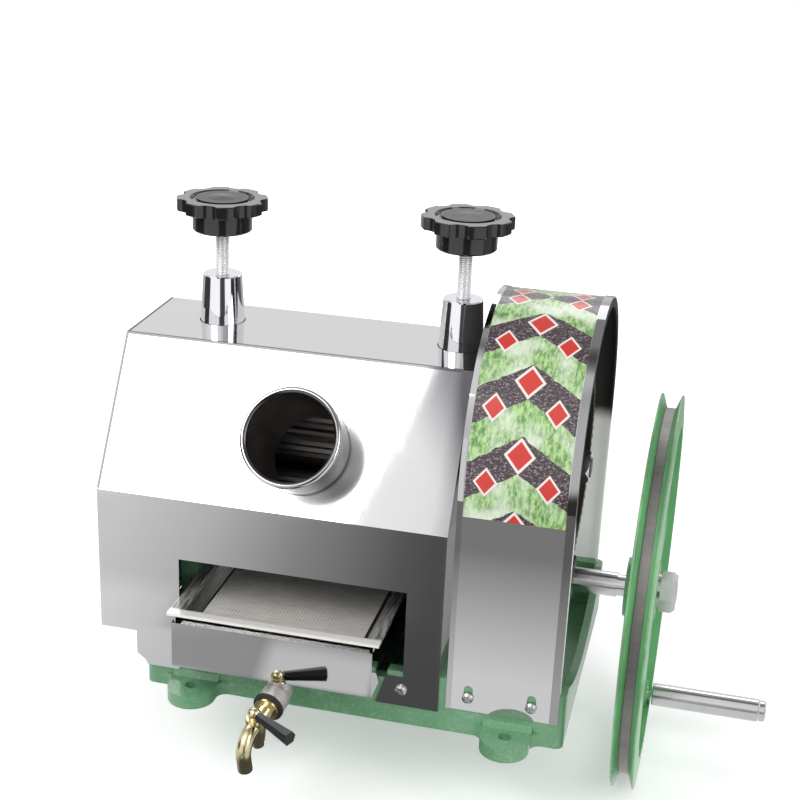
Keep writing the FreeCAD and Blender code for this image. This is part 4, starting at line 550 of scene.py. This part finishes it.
def threadedRod(name, node, body):
    low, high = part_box(node)
    centre = Vector(((low[0] + high[0]) / 2, (low[1] + high[1]) / 2, low[2]))
    crest, pitch, chamfer = screwThread["crest"], screwThread["pitch"], screwThread["chamfer"]
    bpy.ops.object.select_all(action="DESELECT")
    bpy.ops.mesh.primitive_circle_add(vertices=screwThread["sides"], radius=screwThread["point"],
                                      fill_type="NGON", location=centre)
    rod = bpy.context.active_object
    rod.name = name
    bpy.ops.object.transform_apply(location=True, rotation=True, scale=True)
    bpy.ops.object.mode_set(mode="EDIT")
    bpy.ops.mesh.select_all(action="SELECT")
    # height and radius of each ring, from the point upwards
    shoulder = low[2] + screwThread["pointLength"]
    steps = [(shoulder, screwThread["point"]), (shoulder, crest - chamfer)]
    start = shoulder + chamfer
    ridges = int((high[2] - shoulder - 2 * chamfer) / pitch)
    for ridge in range(ridges):
        steps.append((start + ridge * pitch, crest))
        steps.append((start + (ridge + 0.5) * pitch, screwThread["root"]))
    steps += [(high[2] - chamfer, crest), (high[2], crest - chamfer)]
    z, radius = low[2], screwThread["point"]
    for nextZ, nextRadius in steps:
        bpy.ops.mesh.extrude_region_move(TRANSFORM_OT_translate={"value": (0, 0, nextZ - z)})
        factor = nextRadius / radius
        bpy.ops.transform.resize(value=(factor, factor, 1), center_override=(centre.x, centre.y, nextZ))
        z, radius = nextZ, nextRadius
    bpy.ops.mesh.select_all(action="SELECT")
    bpy.ops.mesh.normals_make_consistent(inside=False)
    bpy.ops.object.mode_set(mode="OBJECT")
    bpy.ops.object.shade_smooth_by_angle(angle=math.radians(30))
    rod.data.materials.clear()
    rod.data.materials.append(rodFinish)
    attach(rod, body)
    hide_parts(node)


threadedRod("leftThreadedRod", "left_pressure_screw", "left_screw")
threadedRod("rightThreadedRod", "right_pressure_screw", "right_screw")
print("pressure screws threaded")


# ---- woven bottom of the sieve: wires laid close across, fewer wires under them

weave = {"weft": 0.00110, "warp": 0.0033, "wire": 0.00042, "sides": 6}    # weft and warp pitch, wire radius


def laidWires(name, start, length, alongX, step, count):
    bpy.ops.object.select_all(action="DESELECT")
    turn = (0, math.pi / 2, 0) if alongX else (math.pi / 2, 0, 0)
    middle = Vector(start) + Vector((length / 2, 0, 0) if alongX else (0, length / 2, 0))
    bpy.ops.mesh.primitive_cylinder_add(vertices=weave["sides"], radius=weave["wire"], depth=length,
                                        location=middle, rotation=turn)
    wires = bpy.context.active_object
    wires.name = name
    bpy.ops.object.transform_apply(location=True, rotation=True, scale=True)
    rows = wires.modifiers.new("rows", "ARRAY")
    rows.use_relative_offset = False
    rows.use_constant_offset = True
    rows.constant_offset_displace = (0, step, 0) if alongX else (step, 0, 0)
    rows.count = count
    bpy.ops.object.modifier_apply(modifier="rows")
    bpy.ops.object.shade_smooth_by_angle(angle=math.radians(70))
    wires.data.materials.clear()
    wires.data.materials.append(meshFinish)
    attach(wires, "sieve_set")
    return wires


def weaveBottom():
    low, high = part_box("sieve_mesh")
    wide, deep = high[0] - low[0], high[1] - low[1]
    wire = weave["wire"]
    weft = laidWires("sieveWeft", (low[0], low[1] + wire, high[2] - wire), wide, True,
                     weave["weft"], int(deep / weave["weft"]))
    laidWires("sieveWarp", (low[0] + wire, low[1], low[2] + wire), deep, False,
              weave["warp"], int(wide / weave["warp"]))
    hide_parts("sieve_mesh")


weaveBottom()
print("sieve woven")


# ---- stage: floor, light and camera

studio = {"floorZ": -0.0945, "floorSize": 14.0, "floorTone": (0.86, 0.86, 0.86, 1), "floorLift": 0.36,
          "farLift": 0.7, "world": 0.62}
lamps = {"keyLamp": {"place": (-0.98, -1.5, 1.7), "target": (0, 0, 0.15), "size": (1.2, 1.2), "power": 24.0},
         "fillLamp": {"place": (1.8, -1.0, 1.2), "target": (0, 0, 0.15), "size": (1.0, 1.4), "power": 16.0},
         "rimLamp": {"place": (0.2, 1.6, 1.6), "target": (0, 0, 0.2), "size": (1.4, 0.8), "power": 7.0}}
white = (1, 1, 1, 1)

# what polished metal mirrors. Each list gives places and levels: metres on the floor, degrees of bearing
# from the machine's front, or height of the view, from 0 level to 1 straight up
mirrored = {
    "walls": ((-180, 0.5), (-104, 0.5), (-101, 0.05), (-59, 0.05), (-55, 1.15), (-2, 1.15), (2, 0.07),
              (26, 0.07), (30, 1.15), (74, 1.15), (77, 0.45), (111, 0.45), (115, 0.12), (145, 0.12),
              (155, 0.5), (180, 0.5)),
    "floorFar": ((-0.49, 0.86), (-0.36, 0.67), (-0.22, 0.34), (-0.077, 0.135), (-0.03, 0.104), (0.0, 0.09)),
    "floorNear": ((-0.43, 0.95), (-0.36, 0.80), (-0.32, 0.42), (-0.21, 0.40), (-0.19, 0.75), (-0.075, 0.75),
                  (-0.06, 0.10), (0.0, 0.09)),
    "floorFoot": ((-0.43, 0.95), (-0.30, 0.75), (-0.20, 0.10), (0.0, 0.09)),
    "floorBeside": ((-0.75, 0.27), (-0.585, 0.57), (-0.42, 0.88)),
    "skyAhead": ((-0.02, 0.3), (0.03, 1.2), (0.97, 1.2), (1.0, 0.1)),
    "skyBehind": ((-0.02, 0.5), (0.05, 0.96), (0.46, 0.96), (0.56, 0.5), (0.97, 0.5), (1.0, 0.1)),
    "skyRound": ((-180, 1.0), (-13.5, 1.0), (-10, 0.72), (-6, 0.95), (2, 0.95), (25, 0.5), (90, 0.3),
                 (180, 0.3))}


def stageMaterial(name):
    material = bpy.data.materials.new(name)
    material.use_nodes = True
    material.node_tree.nodes.clear()
    return material, Signal(material.node_tree)


def bearingOf(x, y):
    return x.node("ShaderNodeMath", {"operation": "ARCTAN2"}, {0: x, 1: 0 - y}) * (180 / math.pi)


def floorShine(place):
    x = place.axis("X")
    y = place.axis("Y")
    # bands that fan out ahead of the machine, nearer ones in front of its foot
    across = x - (y + 0.75) * 0.139
    far = across.profile(mirrored["floorFar"])
    near = across.profile(mirrored["floorNear"])
    foot = across.profile(mirrored["floorFoot"])
    near = y.step(-0.428, -0.416).mixed(near, foot)
    ahead = y.step(-0.56, -0.48).mixed(far, near)
    # right of a slanting line the cover sees its own sweep, and behind the machine the floor is even
    slant = x - (y + 0.371) * 0.1833 - 0.0497
    close = slant.step(0.003, 0.008).mixed(ahead, y.profile(mirrored["floorBeside"]))
    close = y.step(0.05, 0.30).mixed(close, 0.70)
    walls = bearingOf(x, y).profile(mirrored["walls"])
    return place.awayFrom((0, 0, 0), (0, 0, 1)).step(0.90, 1.0).mixed(close, walls)


def layFloor():
    bpy.ops.object.select_all(action="DESELECT")
    bpy.ops.mesh.primitive_plane_add(size=studio["floorSize"], location=(0, 0, studio["floorZ"]))
    floor = bpy.context.active_object
    floor.name = "floor"
    bpy.ops.object.transform_apply(location=True)
    material, start = stageMaterial("paleFloor")
    place = start.node("ShaderNodeTexCoord", {}, {}, "Object")
    glossy = start.node("ShaderNodeLightPath", {}, {}, "Is Glossy Ray")
    seen = start.node("ShaderNodeLightPath", {}, {}, "Is Camera Ray")
    matt = start.node("ShaderNodeBsdfDiffuse", {}, {"Color": studio["floorTone"]})
    distance = place.awayFrom((0, 0, 0), (0, 0, 1))
    level = seen * (distance.step(0.3, 2.2) * studio["farLift"] + studio["floorLift"])
    lift = start.node("ShaderNodeEmission", {}, {"Color": white, "Strength": level})
    paper = start.node("ShaderNodeAddShader", {}, {0: matt, 1: lift})
    shine = start.node("ShaderNodeEmission", {}, {"Color": white, "Strength": floorShine(place)})
    mixed = start.node("ShaderNodeMixShader", {}, {0: glossy, 1: paper, 2: shine})
    end = material.node_tree.nodes.new("ShaderNodeOutputMaterial")
    material.node_tree.links.new(mixed.socket, end.inputs[0])
    floor.data.materials.append(material)


def hangLamp(name, setting):
    lamp = bpy.data.lights.new(name, "AREA")
    lamp.shape = "RECTANGLE"
    lamp.size, lamp.size_y = setting["size"]
    lamp.energy = setting["power"]
    holder = bpy.data.objects.new(name, lamp)
    bpy.context.collection.objects.link(holder)
    holder.location = setting["place"]
    aim = Vector(setting["target"]) - Vector(setting["place"])
    holder.rotation_euler = aim.to_track_quat("-Z", "Y").to_euler()


def lightWorld():
    world = bpy.data.worlds.new("studioWorld")
    bpy.context.scene.world = world
    world.use_nodes = True
    tree = world.node_tree
    tree.nodes.clear()
    start = Signal(tree)
    way = start.node("ShaderNodeTexCoord", {}, {}, "Generated")
    seen = start.node("ShaderNodeLightPath", {}, {}, "Is Camera Ray")
    glossy = start.node("ShaderNodeLightPath", {}, {}, "Is Glossy Ray")
    # glossy rays: walls low down, above them white ahead and grey behind, and a thin dark strip overhead
    up = way.axis("Z")
    bearing = bearingOf(way.axis("X"), way.axis("Y"))
    ahead = up.profile(mirrored["skyAhead"]) * bearing.profile(mirrored["skyRound"])
    ahead = up.step(0.33, 0.40).mixed(bearing.profile(mirrored["walls"]), ahead)
    behind = up.profile(mirrored["skyBehind"])
    shine = (0 - way.axis("Y")).step(-0.05, 0.05).mixed(behind, ahead)
    level = seen.mixed(glossy.mixed(studio["world"], shine), 1.0)
    back = start.node("ShaderNodeBackground", {}, {"Color": white, "Strength": level})
    end = tree.nodes.new("ShaderNodeOutputWorld")
    tree.links.new(back.socket, end.inputs[0])


camera = {"lens": 70.1, "sensor": 36.0, "shiftX": 0.0359, "shiftY": 0.0554, "farEnd": 60.0,
          "place": (0.3252, -1.4400, 0.8362), "right": (0.9682, 0.2482, 0.0328),
          "forward": (-0.2176, 0.8989, -0.3804)}


def setCamera():
    view = bpy.data.cameras.new("viewCamera")
    view.lens = camera["lens"]
    view.sensor_width = camera["sensor"]
    view.shift_x = camera["shiftX"]
    view.shift_y = camera["shiftY"]
    view.clip_end = camera["farEnd"]
    holder = bpy.data.objects.new("viewCamera", view)
    bpy.context.collection.objects.link(holder)
    right = Vector(camera["right"]).normalized()
    forward = Vector(camera["forward"]).normalized()
    upward = right.cross(forward).normalized()
    turn = Matrix((right, upward, -forward)).transposed().to_4x4()
    holder.matrix_world = Matrix.Translation(camera["place"]) @ turn
    bpy.context.scene.camera = holder


layFloor()
lightWorld()
for lampName, setting in lamps.items():
    hangLamp(lampName, setting)
setCamera()
bpy.context.scene.view_settings.view_transform = "Standard"
print("stage set")
